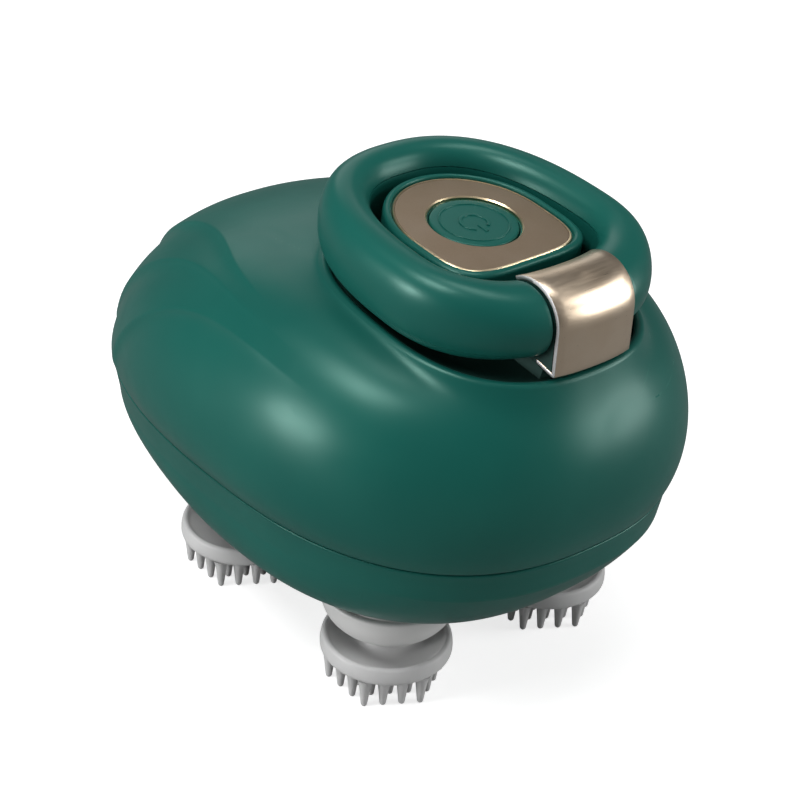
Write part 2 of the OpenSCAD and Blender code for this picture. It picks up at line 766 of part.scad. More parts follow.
module ring_lower() {
  groove = 0.06;
  color(green)
    ring_sweep([for (k = [0:12]) seam_start + (seam_stop - 360 - seam_start) * k / 12], groove, true);
}

module ring_screws() {
  color(steel) handle_frame() ring_screw_places()
    translate([0, 0, ring_screw_seat - ring_screw_head_h]) rotate([180, 0, 0])
        screw(ring_screw_length, ring_screw_d, 3.2, ring_screw_head_h);
}

module hinge_pin() {
  color(steel) translate([hinge_x, 0, hinge_z]) rotate([90, 0, 0])
    cylinder(d = pin_d, h = 2 * pin_reach, center = true);
}

module hinge_washers() {
  color(black) for (side = [-1, 1])
    translate([hinge_x, side * (strap_width / 2 + ring_end_gap / 2), hinge_z]) rotate([90, 0, 0])
      translate([0, 0, -0.1]) tube(8, pin_d + 2 * running_fit, 0.2);
}

// Outline of the post or the strap in the XZ plane: up the front, round the top, and down the rear
function hinge_outline(grow, front_low, turn, rear_low) = let (r = ring_end_d / 2 + grow) concat(
  [[r, front_low]],
  [for (b = [0:turn / 20:turn]) [r * cos(b), r * sin(b)]],
  rear_low < 0 ? [[-r, rear_low]] : []);

module upright(outline, width) {
  translate([hinge_x, width / 2, hinge_z]) rotate([90, 0, 0]) linear_extrude(width) polygon(outline);
}

// Height of the seat under the hinge, at a distance in front of the pin
function seat_level(x) = seat_z - hinge_z - x * tan(seat_tilt);

strap_low = strap_bottom - hinge_z;
strap_heel = ring_end_d / 2 - strap_foot;

module hinge_post() {
  post_low = -14;
  heel = strap_heel - 0.1;
  front = ring_end_d / 2 + strap_t;
  foot_top = strap_low + strap_t + seat_gap;
  color(green) difference() {
    upright(hinge_outline(-seat_gap, post_low, 180, post_low), strap_width - 0.1);
    seat_frame() translate([-20, -20, -20]) cube([40, 40, 20]);
    upright([[heel, post_low - 1], [front, post_low - 1], [front, foot_top], [ring_end_d / 2, foot_top],
      [heel, seat_level(heel) + strap_t + seat_gap]], strap_width + 1);
    translate([hinge_x, 0, hinge_z]) rotate([90, 0, 0])
      cylinder(d = pin_d + 2 * running_fit, h = strap_width + 2, center = true);
    post_screw_places() translate([0, 0, -1]) cylinder(d = screw_hole_d, h = 6);
  }
}

// A band over the post, with a short foot that turns back under the post's front
module hinge_strap() {
  inside = hinge_outline(0, strap_low + strap_t, strap_rear_angle, 0);
  color(gold) upright(concat(
    hinge_outline(strap_t, strap_low, strap_rear_angle, 0),
    [for (i = [len(inside) - 1:-1:0]) inside[i]],
    [[strap_heel, seat_level(strap_heel) + strap_t], [strap_heel, seat_level(strap_heel)],
     [ring_end_d / 2, strap_low]]), strap_width);
}

module post_screws() {
  color(steel) post_screw_places() translate([0, 0, -seat_t - screw_head_h]) rotate([180, 0, 0]) screw(9.6);
}

// ======== Gearbox ========

// Plate outline that carries the four head shafts and the four columns
module gearbox_outline() {
  corner = 6;
  square([2 * (head_x + corner), 2 * head_y], center = true);
  square([2 * head_x, 2 * (head_y + corner)], center = true);
  for (p = head_places) translate(p) circle(r = corner);
  square([2 * column_x, 9], center = true);
  for (side = [-1, 1]) translate([side * column_x, 0]) circle(d = 9);
}

module plate_bores(h) {
  for (p = head_places) translate([p[0], p[1], -1]) cylinder(d = bush_d + 2 * seat_gap, h = h + 2);
  translate([0, 0, -1]) cylinder(d = axle_d + 2 * seat_gap, h = h + 2);
}

module gearbox_base() {
  column_h = cover_z - gearbox_z;
  color(nylon) translate([0, 0, gearbox_z]) difference() {
    union() {
      linear_extrude(gearbox_plate) gearbox_outline();
      for (p = column_places) translate([p[0], p[1], 0]) cylinder(d = column_d, h = column_h);
    }
    plate_bores(gearbox_plate);
    for (p = column_places) translate([p[0], p[1], -1]) cylinder(d = screw_hole_d, h = column_h + 2);
  }
}

module gearbox_cover() {
  color(nylon) translate([0, 0, cover_z]) difference() {
    linear_extrude(gearbox_plate) gearbox_outline();
    plate_bores(gearbox_plate);
    for (p = column_places) translate([p[0], p[1], -1]) cylinder(d = screw_hole_d, h = gearbox_plate + 2);
    translate([motor_x, 0, -1]) cylinder(d = 9, h = gearbox_plate + 2);
    for (side = [-1, 1])
      translate([motor_x, side * 8, -1]) cylinder(d = motor_screw_d + 2 * seat_gap, h = gearbox_plate + 2);
  }
}

module gearbox_screws() {
  length = motor_z + screw_head_h - floor_z + 0.5;
  color(steel) for (p = column_places)
    translate([p[0], p[1], motor_z + screw_head_h]) screw(length);
}

module lower_bushes() {
  color(bush_brown) for (p = head_places)
    translate([p[0], p[1], gearbox_z]) tube(bush_d, shaft_d + 2 * running_fit, gearbox_plate + 0.2);
}

module upper_bushes() {
  color(bush_brown) for (p = head_places)
    translate([p[0], p[1], cover_z - 0.2]) tube(bush_d, shaft_d + 2 * running_fit, gearbox_plate + 0.2);
}

module shaft_seals() {
  color(black) for (p = head_places)
    translate([p[0], p[1], base_z]) tube(seal_d, shaft_d + 2 * running_fit, wall + plate_seat - 0.2);
}

module sun_axle() {
  color(steel) translate([0, 0, gearbox_z]) cylinder(d = axle_d, h = motor_z - gearbox_z);
}

hub_z = gearbox_z + gearbox_plate + gap;
hub_h = cover_z - gap - hub_z;

module sun_wheel() {
  color(nylon) difference() {
    union() {
      translate([0, 0, gear_z]) linear_extrude(gear_face) polygon(gear_outline(sun_teeth, gear_module));
      translate([0, 0, wheel_z]) linear_extrude(wheel_face) polygon(gear_outline(wheel_teeth, wheel_module));
      translate([0, 0, gear_z + gear_face - 0.1]) cylinder(d = 22, h = wheel_z - gear_z - gear_face + 0.2);
      translate([0, 0, hub_z]) cylinder(d = 10, h = hub_h);
    }
    translate([0, 0, hub_z - 1]) cylinder(d = axle_d + 2 * running_fit, h = hub_h + 2);
  }
}

// ======== Motor ========

module motor_can() {
  color(steel) translate([motor_x, 0, motor_z]) difference() {
    union() {
      cylinder(d = motor_d, h = motor_length);
      translate([0, 0, -1.4]) cylinder(d = 7, h = 2);
    }
    translate([0, 0, -2]) cylinder(d = motor_shaft_d + 2 * running_fit, h = 8);
    for (side = [-1, 1]) translate([0, side * 8, -1]) cylinder(d = motor_screw_d + 2 * seat_gap, h = 4);
  }
}

module motor_cap() {
  color(black) translate([motor_x, 0, motor_z + motor_length]) {
    cylinder(d = motor_d - 2, h = 1.6);
    for (side = [-1, 1]) translate([-0.25, side * 7 - 1, 1.5]) cube([0.5, 2, 2.1]);
  }
}

module motor_screws() {
  color(steel) for (side = [-1, 1])
    translate([motor_x, side * 8, cover_z - 1.2]) rotate([180, 0, 0]) screw(5.8, motor_screw_d, 3.6, 1.2);
}

module motor_shaft() {
  color(steel) translate([motor_x, 0, wheel_z - 0.1]) cylinder(d = motor_shaft_d, h = motor_z + 5 - wheel_z);
}

module motor_pinion() {
  turn = mesh_turn(180, wheel_teeth, pinion_teeth);
  color(bush_brown) translate([motor_x, 0, wheel_z]) rotate([0, 0, turn]) difference() {
    linear_extrude(wheel_face) polygon(gear_outline(pinion_teeth, wheel_module));
    translate([0, 0, -1]) cylinder(d = motor_shaft_d + 2 * seat_gap, h = wheel_face + 2);
  }
}

// ======== Battery, leads and charging inlet ========

cradle_wall = 2;
cell_z = motor_z + cradle_wall + 1 + cell_d / 2;
cradle_length = cell_length - 8;

module battery_cell() {
  color("#3f6f9f") translate([cell_x, cell_length / 2, cell_z]) rotate([90, 0, 0]) {
    cylinder(d = cell_d, h = cell_length);
    translate([0, 0, -1]) cylinder(d = 5.5, h = 2);
  }
}

module battery_cradle() {
  width = cell_d - 2;
  height = cell_z - motor_z - 1;
  color(nylon) difference() {
    translate([cell_x - width / 2, -cradle_length / 2, motor_z]) cube([width, cradle_length, height]);
    translate([cell_x, 0, cell_z]) rotate([90, 0, 0])
      cylinder(d = cell_d + 0.2, h = cradle_length + 2, center = true);
    translate([column_x, 0, motor_z - 1]) cylinder(d = screw_head_d + 1, h = height);
  }
}

// A point a little under the control board
function board_point(x, y, under = 1) = from_pod([x, y, board_z - board_t - under]);

module battery_leads() {
  color(lead_red) for (side = [-1, 1])
    lead([[cell_x, side * (cell_length / 2 + 2.2), cell_z],
          [cell_x, side * (cell_length / 2 + 6), cell_z + 12],
      [cell_x - 3, side * 16, cell_z + 18], board_point(5, side * 7, 10), board_point(5, side * 7)]);
}

module motor_leads() {
  top = motor_z + motor_length + 4.6;
  color(lead_red) for (side = [-1, 1])
    lead([[motor_x, side * 7, top], [motor_x + 1, side * 7, top + 3], [pod_x - 20, side * 6, top - 2],
      board_point(-7, side * 6, 12), board_point(-7, side * 6)]);
}

module charge_board() {
  color(board_green) inlet_frame()
    translate([inlet_board_top - board_t, -7, -inlet_board_length - wall - 1])
      cube([board_t, 14, inlet_board_length]);
}

socket_front = -wall - gap;
socket_length = 7.2;

module charge_socket() {
  color(steel) inlet_frame() translate([0, 0, socket_front - socket_length]) difference() {
    slot(socket_w, socket_h, socket_length);
    translate([0, 0, 1]) slot(socket_w - 2 * socket_skin, socket_h - 2 * socket_skin, socket_length);
  }
}

// The rubber stopper: a flat head in the casing's slot and a tongue in the socket
module socket_plug() {
  tongue = 2.5;
  color(green) inlet_frame() {
    translate([0, 0, -wall]) slot(inlet_w, inlet_h, wall + 0.1);
    translate([0, 0, -wall - tongue])
      slot(socket_w - 2 * (socket_skin + gap), socket_h - 2 * (socket_skin + gap), tongue + 0.5);
  }
}

module charge_leads() {
  rise = motor_z + motor_length + 5;
  color(lead_red) for (side = [-1, 1])
    lead([inlet_point(inlet_board_top + 0.6, side * 4, -inlet_board_length - 0.5),
      inlet_point(inlet_board_top + 9, side * 4, -inlet_board_length - 3),
      [motor_x - 26, side * 3, rise + 9], [motor_x + 2, side * 2, rise + 5], [pod_x - 18, side * 2, rise - 7],
      board_point(-10, side * 2, 14), board_point(-10, side * 2)]);
}

function inlet_point(u, v, w) =
  let (s = dome_point(180, inlet_level), turn = inlet_turn())
  [s[0] + u * cos(turn) + w * sin(turn), v, s[2] - u * sin(turn) + w * cos(turn)];

// ======== Massage heads ========

module at_head(i) {
  translate([head_places[i][0], head_places[i][1], 0]) children();
}

module head_gear(i) {
  p = head_places[i];
  turn = mesh_turn(atan2(p[1], p[0]), sun_teeth, head_teeth);
  color(nylon) at_head(i) difference() {
    union() {
      translate([0, 0, gear_z]) rotate([0, 0, turn]) linear_extrude(gear_face)
        polygon(gear_outline(head_teeth, gear_module));
      translate([0, 0, hub_z]) cylinder(d = shaft_d + 4, h = hub_h);
    }
    translate([0, 0, hub_z - 1]) cylinder(d = shaft_d + 2 * seat_gap, h = hub_h + 2);
  }
}

module head_shaft(i) {
  low = cup_z + 1.6;
  color(steel) at_head(i) translate([0, 0, low]) cylinder(d = shaft_d, h = motor_z - 0.2 - low);
}

// The drive cup: a round bowl with a hub for the shaft and a spigot that the pad snaps on
module head_cup(i) {
  r = cup_d / 2;
  hub = shaft_d / 2 + 2.4;
  skin = 1.6;
  bowl = [for (b = [0:9:90]) [neck_d / 2 + (r - neck_d / 2) * sin(b), cup_height * (1 - cos(b)) * 0.86]];
  inside = [for (b = [90:-9:27]) [neck_d / 2 + (r - skin - neck_d / 2) * sin(b),
    cup_height * (1 - cos(b)) * 0.86 + skin]];
  color(grey) at_head(i) translate([0, 0, cup_z]) difference() {
    union() {
      rotate_extrude() polygon(concat([[0, 0]], bowl, [[r, cup_height], [r - skin, cup_height]], inside,
        [[hub, inside[len(inside) - 1][1]], [hub, cup_height], [0, cup_height]]));
      translate([0, 0, pad_z + pad_height - 1 - cup_z])
        cylinder(d = spigot_d, h = cup_z - pad_z - pad_height + 1.5);
    }
    translate([0, 0, 1.6]) cylinder(d = shaft_d + 2 * seat_gap, h = cup_height);
  }
}

module finger() {
  tip_r = finger_tip_d / 2;
  root_r = finger_root_d / 2;
  start = asin((tip_r - tip_flat) / tip_r);
  rotate_extrude($fn = 32) polygon(concat([[0, 0]],
    [for (b = [start:-15:4]) [tip_r * cos(b), tip_r - tip_flat - tip_r * sin(b)]],
    [[tip_r, tip_r - tip_flat], [root_r, finger_length - 0.8], [root_r + 0.2, finger_length],
     [root_r + 0.2, finger_length + 0.6], [0, finger_length + 0.6]]));
}

// The silicone pad: a dished disc with a raised rim, a neck with a socket, and a hexagon of fingers
module head_pad(i) {
  r = pad_d / 2;
  neck = neck_d / 2;
  rings = finger_rings;
  color(grey) at_head(i) difference() {
    union() {
      translate([0, 0, pad_z]) rotate_extrude() polygon([[0, 0], [r - 1.3, 0], [r - 0.5, 0.5], [r - 0.1, 1.4],
        [r, 2.2], [r - 0.2, 3.2], [r - 0.7, pad_height - 0.1], [r - 1.2, pad_height],
        [r - 1.7, pad_height - 0.4],
        [r - 2.6, 2.9], [neck + 3, 2.2], [neck + 1.2, 2.5], [neck + 0.3, 3.4],
        [neck, neck_top_z - pad_z], [0, neck_top_z - pad_z]]);
      for (q = [-rings:rings], s = [-rings:rings])
        if (abs(q + s) <= rings)
          translate([finger_step * (q + s / 2), finger_step * s * sqrt(3) / 2, 0]) finger();
    }
    translate([0, 0, pad_z + pad_height - 1.2]) cylinder(d = spigot_d + 0.1, h = 10);
  }
}

upper_shell();
lower_shell();
shell_gasket();
shell_screws();
collar_deck();
pod_housing();
face_plate();
plate_trim();
hinge_strap();
hinge_post();
post_screws();
hinge_washers();
ring_upper();
ring_lower();
ring_screws();
hinge_pin();
power_button();
button_seal();
tact_switch();
control_board();
board_screws();
gearbox_base();
gearbox_cover();
gearbox_screws();
lower_bushes();
upper_bushes();
shaft_seals();
sun_axle();
sun_wheel();
motor_can();
motor_cap();
motor_screws();
motor_shaft();
motor_pinion();
battery_cell();
battery_cradle();
battery_leads();
motor_leads();
charge_board();
charge_socket();
socket_plug();
charge_leads();
head_gear(0);  // head_gear_1
head_gear(1);  // head_gear_2
head_gear(2);  // head_gear_3
head_gear(3);  // head_gear_4
head_shaft(0);  // head_shaft_1
head_shaft(1);  // head_shaft_2
head_shaft(2);  // head_shaft_3
head_shaft(3);  // head_shaft_4
head_cup(0);  // head_cup_1
head_cup(1);  // head_cup_2
head_cup(2);  // head_cup_3
head_cup(3);  // head_cup_4
head_pad(0);  // head_pad_1
head_pad(1);  // head_pad_2
head_pad(2);  // head_pad_3
head_pad(3);  // head_pad_4
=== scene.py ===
# %% [markdown]
# # An electric scalp massager
# The real object is an egg-shaped hand unit in satin green plastic. Four grey silicone heads spin
# under it, a power button sits in a small pod on top, and an oval ring handle flips up on a pin
# under a gold strap. The hidden works, such as gears, motor and battery, come ready from the CAD
# frame. The shells, ring, pod, strap and heads are remade here with finer surfaces, from the same
# formulas, because a smooth satin skin shows every facet in its reflections.

# %% Load the frame
import math
from math import radians
import bmesh
import bpy
import numpy as np
from mathutils import Matrix, Vector


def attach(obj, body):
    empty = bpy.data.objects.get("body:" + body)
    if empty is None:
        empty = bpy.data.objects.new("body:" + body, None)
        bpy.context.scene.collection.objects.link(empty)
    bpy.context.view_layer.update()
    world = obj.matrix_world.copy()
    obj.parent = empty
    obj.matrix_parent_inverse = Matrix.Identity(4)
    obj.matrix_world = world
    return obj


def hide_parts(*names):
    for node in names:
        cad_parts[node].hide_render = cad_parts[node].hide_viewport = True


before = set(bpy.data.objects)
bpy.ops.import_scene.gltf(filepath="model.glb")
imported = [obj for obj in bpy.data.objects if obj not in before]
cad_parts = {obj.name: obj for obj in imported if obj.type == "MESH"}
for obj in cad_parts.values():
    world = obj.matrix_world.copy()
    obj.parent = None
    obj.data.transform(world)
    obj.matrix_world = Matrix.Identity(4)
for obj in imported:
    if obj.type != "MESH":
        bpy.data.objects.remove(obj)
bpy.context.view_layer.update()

MM = 0.001

# %% [markdown]
# ## Camera
# The photograph looks down on the front corner, from 31 degrees above the table, with a long lens.
# A camera could be aimed by a Track To constraint, but three plain turns say more: round the
# upright axis, down from the zenith, and a small roll, because the picture is not quite level.

# %% Camera
camera_data = bpy.data.cameras.new("camera")
camera_data.lens = 90
camera_data.sensor_width = 36
camera = bpy.data.objects.new("camera", camera_data)
bpy.context.collection.objects.link(camera)
heading, zenith, roll = radians(48.5), radians(59.2), radians(3.8)
camera.matrix_world = (
    Matrix.Translation(Vector((258.8, -229.3, 250.3)) * MM)
    @ Matrix.Rotation(heading, 4, "Z")
    @ Matrix.Rotation(zenith, 4, "X")
    @ Matrix.Rotation(roll, 4, "Z")
)
bpy.context.scene.camera = camera
print("camera at", [round(v, 3) for v in camera.matrix_world.translation])

# %% [markdown]
# ## Colours and nodes
# Screen colours are written in sRGB, while a shader works in linear light, so one function turns a
# hex value into linear numbers. A second small function adds any node with its settings and links,
# and a few more name the nodes that every material needs: noise, remap, blend, maths and dents.
# That keeps each material below readable as a list of what feeds what.


# %% Helpers for materials
def linear(hex_colour):
    channels = [int(hex_colour[i : i + 2], 16) / 255 for i in (1, 3, 5)]
    return [c / 12.92 if c <= 0.04045 else ((c + 0.055) / 1.055) ** 2.4 for c in channels] + [1]


def add(tree, kind, inputs=None, **settings):
    """Adds a node. Settings belong to the node; an input is a number, a colour or another's output."""
    item = tree.nodes.new(kind)
    for name, value in settings.items():
        setattr(item, name, value)
    for name, value in (inputs or {}).items():
        if isinstance(value, bpy.types.NodeSocket):
            tree.links.new(value, item.inputs[name])
        else:
            item.inputs[name].default_value = value
    return item


def new_material(name):
    """An empty material, its node tree and a surface shader, wired to the output."""
    material = bpy.data.materials.new(name)
    material.use_nodes = True
    tree = material.node_tree
    tree.nodes.clear()
    shader = add(tree, "ShaderNodeBsdfPrincipled")
    add(tree, "ShaderNodeOutputMaterial", {"Surface": shader.outputs["BSDF"]})
    return material, tree, shader


def feed(tree, shader, **values):
    """Gives the shader's sockets a number or a link, with _ for a space in the name."""
    for name, value in values.items():
        socket = shader.inputs[name.replace("_", " ")]
        if isinstance(value, bpy.types.NodeSocket):
            tree.links.new(value, socket)
        else:
            socket.default_value = value


def per_mm(size):
    """Texture scale at which a pattern repeats about every size millimetres."""
    return 1 / (size * MM)


def object_place(tree):
    """Texture coordinates in metres that stay with the object."""
    return add(tree, "ShaderNodeTexCoord").outputs["Object"]


def noise(tree, place, size, detail, **inputs):
    """Noise with blotches of about size millimetres."""
    return add(tree, "ShaderNodeTexNoise",
               {"Vector": place, "Scale": per_mm(size), "Detail": detail, **inputs}).outputs["Fac"]


def remap(tree, value, source=(0.0, 1.0), target=(0.0, 1.0)):
    """Stretches the source range of a value over the target range."""
    return add(tree, "ShaderNodeMapRange",
               {"Value": value, "From Min": source[0], "From Max": source[1],
                "To Min": target[0], "To Max": target[1]}).outputs["Result"]


def blend(tree, share, first, second):
    """A mix of two colours, each a hex value or another node's output."""
    first, second = (linear(c) if isinstance(c, str) else c for c in (first, second))
    return add(tree, "ShaderNodeMixRGB", {"Fac": share, "Color1": first, "Color2": second}).outputs["Color"]


def maths(tree, operation, first, second):
    return add(tree, "ShaderNodeMath", {0: first, 1: second}, operation=operation).outputs[0]


def dents(tree, height, depth, strength, invert=False):
    """A normal bumped by a height, whose full range is depth millimetres."""
    return add(tree, "ShaderNodeBump", {"Strength": strength, "Distance": depth * MM, "Height": height},
               invert=invert).outputs["Normal"]


print("deep green in linear light:", [round(c, 3) for c in linear("#0F463C")])

# %% [markdown]
# ## Satin green ABS
# The casing is injection-moulded ABS. Its tool was spark-eroded, which prints a very fine, even
# grain on the skin, so highlights are soft and broad rather than sharp. Hands polish the grain on
# the proud edges first. A noise could only fake that as random patches, while the pointiness of
# the mesh finds real edges, so it drives the worn, smoother and slightly paler rims here.


# %% Moulded plastic
def moulded(name, base, patch, rough, grain_mm=0.4, grain_depth=0.006, worn=None, ior=1.54, tint="#FFFFFF"):
    """Moulded plastic: slow colour drift, handled patches in the gloss, a fine eroded grain."""
    material, tree, shader = new_material(name)
    place = object_place(tree)
    drift = remap(tree, noise(tree, place, 30, 3.0, Roughness=0.5), (0.3, 0.7))
    colour = blend(tree, drift, base, patch)
    handled = noise(tree, place, 9, 4.0, Distortion=0.6)
    gloss = remap(tree, handled, (0.3, 0.7), (rough - 0.025, rough + 0.035))
    if worn:
        edge = add(tree, "ShaderNodeNewGeometry").outputs["Pointiness"]
        rubbed = remap(tree, edge, (0.58, 0.72), (0.0, 0.5))
        colour = blend(tree, rubbed, colour, worn)
        gloss = maths(tree, "SUBTRACT", gloss, maths(tree, "MULTIPLY", rubbed, 0.12))
    grain = noise(tree, place, grain_mm, 2.0, Roughness=0.6)
    feed(tree, shader, Base_Color=colour, Roughness=gloss, IOR=ior, Specular_Tint=linear(tint),
         Normal=dents(tree, grain, grain_depth, 0.5))
    return material


# Pigment near the skin tints its gloss a little, so the highlights stay green.
# The grain is about 0.1 mm on the real skin; drawn at 0.4 mm so that it shows at this distance.
satin_green_abs = moulded("satin_green_abs", "#10524A", "#14584F", 0.34, worn="#22665A", tint="#A9D6C9")
# The well round the pod sits in shade, so its green is painted darker as painted shade, and it keeps a
# coarser, matter tool finish; the hinge post, also in shade, shares it.
matt_green_abs_painted_shade = moulded("matt_green_abs_painted_shade", "#09352F", "#0B3A33", 0.6, grain_mm=0.7, grain_depth=0.02)
# The cups are the same resin in pale grey, a little less glossy.
satin_grey_abs = moulded("satin_grey_abs", "#C4C5C4", "#CBCBCA", 0.42, worn="#D2D2D1")
# Glass-filled black nylon of switch and motor cap: a dry, fibrous surface.
glass_filled_black_nylon = moulded("glass_filled_black_nylon", "#1B1C1E", "#26282A", 0.52,
                                   grain_mm=0.6, grain_depth=0.03)
print("green, matt green, grey and black plastics made")

# %% [markdown]
# ## Silicone and rubber
# The pads are liquid silicone rubber, moulded in a blasted tool. It is soft, a little translucent
# at thin places, and never mirror-like; dust clings to it, which a trace of sheen gives. Seals are
# black EPDM with no translucency at all.


# %% Soft rubbers
def rubber(name, base, dust, rough, translucent=0.0):
    """Rubber with a faint bloom of dust and a blasted grain."""
    material, tree, shader = new_material(name)
    place = object_place(tree)
    bloom = noise(tree, place, 6, 5.0)
    colour = blend(tree, remap(tree, bloom, (0.4, 0.75)), base, dust)
    gloss = remap(tree, bloom, target=(rough - 0.05, rough + 0.08))
    # Blasted grain of about 0.3 mm.
    grain = noise(tree, place, 0.3, 2.0)
    feed(tree, shader, Base_Color=colour, Roughness=gloss, IOR=1.41, Normal=dents(tree, grain, 0.01, 0.4),
         Sheen_Weight=0.08, Sheen_Roughness=0.6, Subsurface_Weight=translucent, Subsurface_Scale=0.6 * MM,
         Subsurface_Radius=[1.0, 1.0, 1.0])
    return material


grey_silicone = rubber("grey_silicone", "#BEBEBE", "#C6C6C6", 0.45, translucent=0.15)
black_epdm = rubber("black_epdm", "#0D0E0F", "#16181A", 0.6)
green_tpe = rubber("green_tpe", "#0D4036", "#124A3D", 0.5)
print("silicone and rubbers made")

# %% [markdown]
# ## Metals
# The face plate is aluminium, bead-blasted and anodised bronze: blasting leaves shallow dimples
# that spread the light evenly. The strap is brushed before it is anodised gold, so fine scratches
# run along the band. Cut edges and the plate's trim are bright turned metal. All of them share one
# recipe, in which a stretched noise gives either dimples or brush lines, since the two finishes
# differ only in how long their marks are.


# %% Metals
def metal(name, base, tarnish, rough, mark_mm, depth_mm, spread=0.08, brushed=0.0):
    """Metal whose marks have a size (x, y, z) in millimetres; long in one axis they are brush lines."""
    material, tree, shader = new_material(name)
    place = object_place(tree)
    sized = add(tree, "ShaderNodeMapping", {"Vector": place, "Scale": [per_mm(s) for s in mark_mm]})
    marks = add(tree, "ShaderNodeTexNoise", {"Vector": sized.outputs["Vector"], "Scale": 1.0, "Detail": 3.0,
                                             "Roughness": 0.65}).outputs["Fac"]
    cloud = noise(tree, place, 12, 3.0)
    colour = blend(tree, remap(tree, cloud, (0.35, 0.7)), base, tarnish)
    gloss = remap(tree, marks, (0.25, 0.75), (rough - spread, rough + spread))
    feed(tree, shader, Base_Color=colour, Metallic=1.0, Roughness=gloss, Anisotropic=brushed,
         Normal=dents(tree, marks, depth_mm, 0.6))
    return material


# Dimples of 0.25 mm, drawn as fine as the render resolves.
blasted_bronze_aluminium = metal("blasted_bronze_aluminium", "#A6937D", "#AD9B87", 0.5,
                                 (0.25, 0.25, 0.25), 0.012)
# Brush lines 0.15 mm wide and about 12 mm long, across the strap's bend.
brushed_gold_aluminium = metal("brushed_gold_aluminium", "#E8D6BF", "#DFC9AE", 0.34,
                               (0.15, 12, 0.15), 0.006, brushed=0.3)
polished_gold_edge = metal("polished_gold_edge", "#F3E0BC", "#EBD3A6", 0.3, (0.3, 0.3, 0.3), 0.002, 0.04)
cut_aluminium = metal("cut_aluminium", "#D2D0D0", "#C6C5C6", 0.55, (3, 0.2, 3), 0.008)
# Turning marks circle the shafts and screws, so along Z they are only 0.1 mm wide.
turned_steel = metal("turned_steel", "#B4B8BC", "#9EA3A8", 0.28, (6, 6, 0.1), 0.004)
plated_motor_steel = metal("plated_motor_steel", "#A9ADB1", "#8F949A", 0.38, (2, 2, 1.2), 0.01)
print("metals made")

# %% [markdown]
# ## Materials of the hidden works
# Gears are cut from milky acetal, bushes are sintered bronze with oil-filled pores, the boards are
# glass-epoxy under green solder mask, and the cell wears a shrunk PVC sleeve. They show only when
# the object is taken apart, yet each is finished with its own pattern at its own scale.

# %% Acetal, sintered bronze, boards, sleeve and wire
creamy_acetal = moulded("creamy_acetal", "#DEDACD", "#E8E5DB", 0.4, grain_mm=0.5, ior=1.48)
pvc_wire = rubber("pvc_wire", "#93231D", "#A53029", 0.4)

sintered_bronze, tree, shader = new_material("sintered_bronze")
# Powder grains of 0.25 mm with dark pores between them.
pores = add(tree, "ShaderNodeTexVoronoi",
            {"Vector": object_place(tree), "Scale": per_mm(0.25)}).outputs["Distance"]
feed(tree, shader, Base_Color=blend(tree, pores, "#BE8F45", "#6F4E22"), Metallic=1.0, Roughness=0.5,
     Normal=dents(tree, pores, 0.03, 0.6, invert=True))

green_board, tree, shader = new_material("solder_masked_board")
# Copper tracks every 1.2 mm stand a little proud under the mask.
track = add(tree, "ShaderNodeTexBrick", {
    "Vector": object_place(tree), "Scale": per_mm(2.4), "Mortar Size": 0.12, "Mortar Smooth": 0.2,
    "Brick Width": 1.6, "Row Height": 0.5, "Color1": linear("#17512F"), "Color2": linear("#1B5A35"),
    "Mortar": linear("#0E3A20")})
feed(tree, shader, Base_Color=track.outputs["Color"], Roughness=0.3, IOR=1.55, Coat_Weight=0.4,
     Normal=dents(tree, track.outputs["Fac"], 0.04, 0.5, invert=True))

pvc_sleeve, tree, shader = new_material("shrunk_pvc_sleeve")
# Shrinking leaves shallow waves about 5 mm apart.
waves = noise(tree, object_place(tree), 5, 1.0)
feed(tree, shader, Base_Color=blend(tree, waves, "#355F8A", "#446F9C"), Roughness=0.25, IOR=1.53,
     Normal=dents(tree, waves, 0.1, 0.4))
print("hidden finishes made:", len(bpy.data.materials), "materials in all")

# %% [markdown]
# ## Meshes from rings of points
# Nearly every piece here is a skin over rings of points: round the dome, round the ring's tube,
# round the pod. Blender could loft them through curves or geometry nodes; filling quads between
# numbered rings in plain code keeps the CAD's exact measures and gives an even, all-quad mesh.


# %% Helpers for meshes
def mesh_piece(name, points, faces, materials, sharp=35, kinds=None):
    """A closed mesh from points in millimetres, smooth except where it folds by more than sharp degrees."""
    mesh = bpy.data.meshes.new(name)
    mesh.from_pydata((np.asarray(points, float) * MM).tolist(), [], faces)
    for material in materials:
        mesh.materials.append(material)
    if kinds is not None:
        mesh.polygons.foreach_set("material_index", kinds)
    work = bmesh.new()
    work.from_mesh(mesh)
    bmesh.ops.remove_doubles(work, verts=work.verts, dist=1e-7)
    bmesh.ops.recalc_face_normals(work, faces=work.faces)
    work.to_mesh(mesh)
    work.free()
    mesh.shade_smooth()
    mesh.set_sharp_from_angle(angle=radians(sharp))
    piece = bpy.data.objects.new(name, mesh)
    bpy.context.collection.objects.link(piece)
    return piece


def skin(rings, closed=False, capped=False, start=0):
    """Quads between rings of equally many points, and flat ends if capped."""
    n, m = len(rings[0]), len(rings)
    faces = []
    for j in range(m if closed else m - 1):
        low, high = start + j * n, start + (j + 1) % m * n
        faces += [(low + i, low + (i + 1) % n, high + (i + 1) % n, high + i) for i in range(n)]
    if capped:
        last = start + (m - 1) * n
        faces += [tuple(start + i for i in reversed(range(n))), tuple(last + i for i in range(n))]
    return faces


def loft(name, rings, materials, **options):
    """A piece whose skin runs from ring to ring."""
    closed, capped = options.pop("closed", False), options.pop("capped", False)
    return mesh_piece(name, np.concatenate(rings), skin(rings, closed, capped), materials, **options)


def join_parts(parts):
    """Point lists and face lists of several parts as one."""
    points, faces = [], []
    for part_points, part_faces in parts:
        shift = sum(len(p) for p in points)
        points.append(np.asarray(part_points, float))
        faces += [tuple(i + shift for i in face) for face in part_faces]
    return np.concatenate(points), faces


